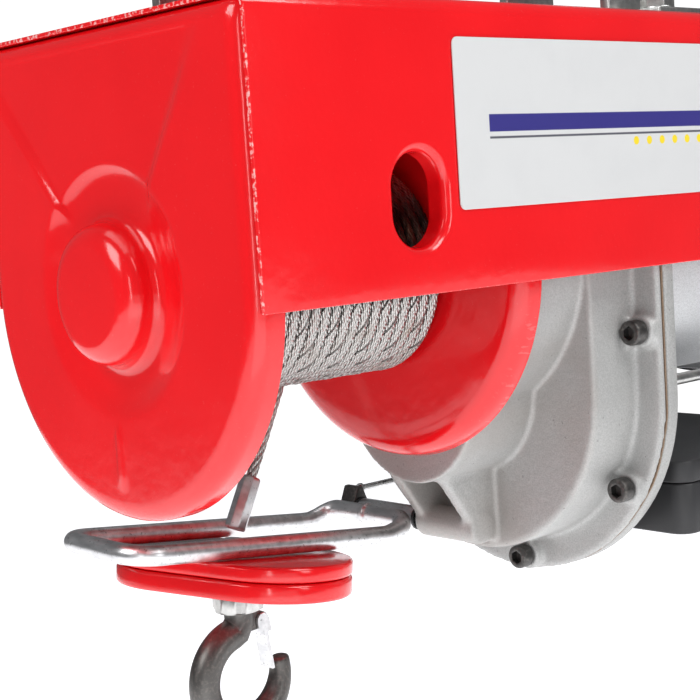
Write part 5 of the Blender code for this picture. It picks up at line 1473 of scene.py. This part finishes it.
def make_hook_nut(low, high):
    flats = 11.0
    count = 72
    rings = []
    for z, limit in ((low, 9.3), (low + 0.9, flats), (high - 0.9, flats), (high, 9.3)):
        ring = []
        for i in range(count):
            turn = 2 * math.pi * i / count
            corner = flats * math.cos(math.pi / 6) / math.cos((turn % (math.pi / 3)) - math.pi / 6)
            radius = min(corner, limit if limit < flats else corner)
            ring.append(Vector((HOOK[0] + radius * math.cos(turn), HOOK[1] + radius * math.sin(turn), z)))
        rings.append(ring)
    turns = [2 * math.pi * i / count for i in range(count)]
    for z in (high, low):
        rings.append([Vector((HOOK[0] + 6.3 * math.cos(t), HOOK[1] + 6.3 * math.sin(t), z)) for t in turns])
    settle(stack("hook_nut_hex", rings, closed_stack=True, sharp=30.0), "hook", bolt_plate, "hook_nut")


# ---------------------------------------------------------------- hanging clamps
def clamp_outline():
    """A strap bent over the carrying bar, with a foot at each side."""
    base, sheet, bend = CLAMP_BASE, CLAMP_SHEET, CLAMP_BEND
    outer = CLAMP_INNER + sheet
    crown = span("hanging_clamp_1")[1].z - bend
    outline = [(CLAMP_FOOT, base), (CLAMP_FOOT, base + sheet), (outer + 2.0, base + sheet), (outer, base + 7.0)]
    outline += arc((outer - bend, crown), bend, 0, 90, 12) + arc((bend - outer, crown), bend, 90, 180, 12)
    outline += [(-outer, base + 7.0), (-outer - 2.0, base + sheet), (-CLAMP_FOOT, base + sheet),
                (-CLAMP_FOOT, base), (-CLAMP_INNER, base)]
    outline += arc((bend - outer, crown), bend - sheet, 180, 90, 12)
    outline += arc((outer - bend, crown), bend - sheet, 90, 0, 12)
    return outline + [(CLAMP_INNER, base)]


def bolt_holes(x):
    return [lathe("bolt_hole", pole_rod(CLAMP_BASE - 10, CLAMP_BASE + 15, BOLT_HOLE), "Z",
                  (x, side * BOLT_SPREAD), 40) for side in (-1, 1)]


def hex_bolt():
    """Bolt hanging from zero: chamfered six-sided head above, washer, shank below."""
    count = 72
    rings = [[Vector((0.0, 0.0, BOLT_HEAD))]]
    turns = [2 * math.pi * i / count for i in range(count)]
    for z, chamfer in ((BOLT_HEAD, 5.6), (4.8, 0.0), (1.2, 0.0)):
        ring = []
        for turn in turns:
            corner = 6.2 / math.cos((turn % (math.pi / 3)) - math.pi / 6)
            radius = chamfer or min(corner, 7.1)
            ring.append(Vector((radius * math.cos(turn), radius * math.sin(turn), z)))
        rings.append(ring)
    for z, radius in ((1.2, 7.05), (1.0, 7.14), (0.1, 7.14), (0.0, 7.0), (0.0, 3.95), (-12.0, 3.95), (-12.5, 3.4)):
        rings.append([Vector((radius * math.cos(t), radius * math.sin(t), z)) for t in turns])
    rings.append([Vector((0.0, 0.0, -12.5))])
    return stack("hex_bolt", rings, sharp=30.0)


def make_clamps():
    for i, x in enumerate(CLAMPS):
        clamp = slab(f"hanging_clamp_{i + 1}_strap", clamp_outline(), x - CLAMP_WIDTH / 2, x + CLAMP_WIDTH / 2,
                     edge=0.7)
        clamp = bored(clamp, "DIFFERENCE", bolt_holes(x))
        settle(clamp, "frame", bolt_plate, f"hanging_clamp_{i + 1}", smooth=SMOOTH)
    seat = span("clamp_bolt_1")[1].z - BOLT_HEAD - 0.1
    places = [(x, side * BOLT_SPREAD, seat) for x in CLAMPS for side in (-1, 1)]
    bolts = repeat_part("clamp_bolts", repeat_tree, hex_bolt(), places, bolt_plate)
    settle(bolts, "frame", bolt_plate, *[f"clamp_bolt_{i}" for i in range(1, 5)])


def refinish(finish, *names):
    """A carried-over CAD piece keeps its shape and gets its material."""
    for name in names:
        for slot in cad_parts[name].material_slots:
            slot.material = finish.material


make_rope_fall()
make_rope_pile()
make_end_cover()
make_frame()
make_name_plate()
make_flanges()
make_gear_housing()
make_gasket()
make_gear_cover()
make_screws()
make_motor()
make_fan_cover()
make_electrical_box()
make_lever()
make_stop_block()
make_ferrule()
make_hook()
make_clamps()

refinish(ground, "end_bearing", "main_bearing", "drum_tube", "drum_shaft", "drum_gear", "countershaft",
         "countershaft_bearing", "large_gear", "rotor", "rotor_bearing_front", "rotor_bearing_rear", "stator_core")
refinish(socket_black, "brake_coil", "brake_disc", "limit_switch")
refinish(plastic, "cooling_fan")
refinish(plated, "hook_latch")

make_floor()
make_studio()
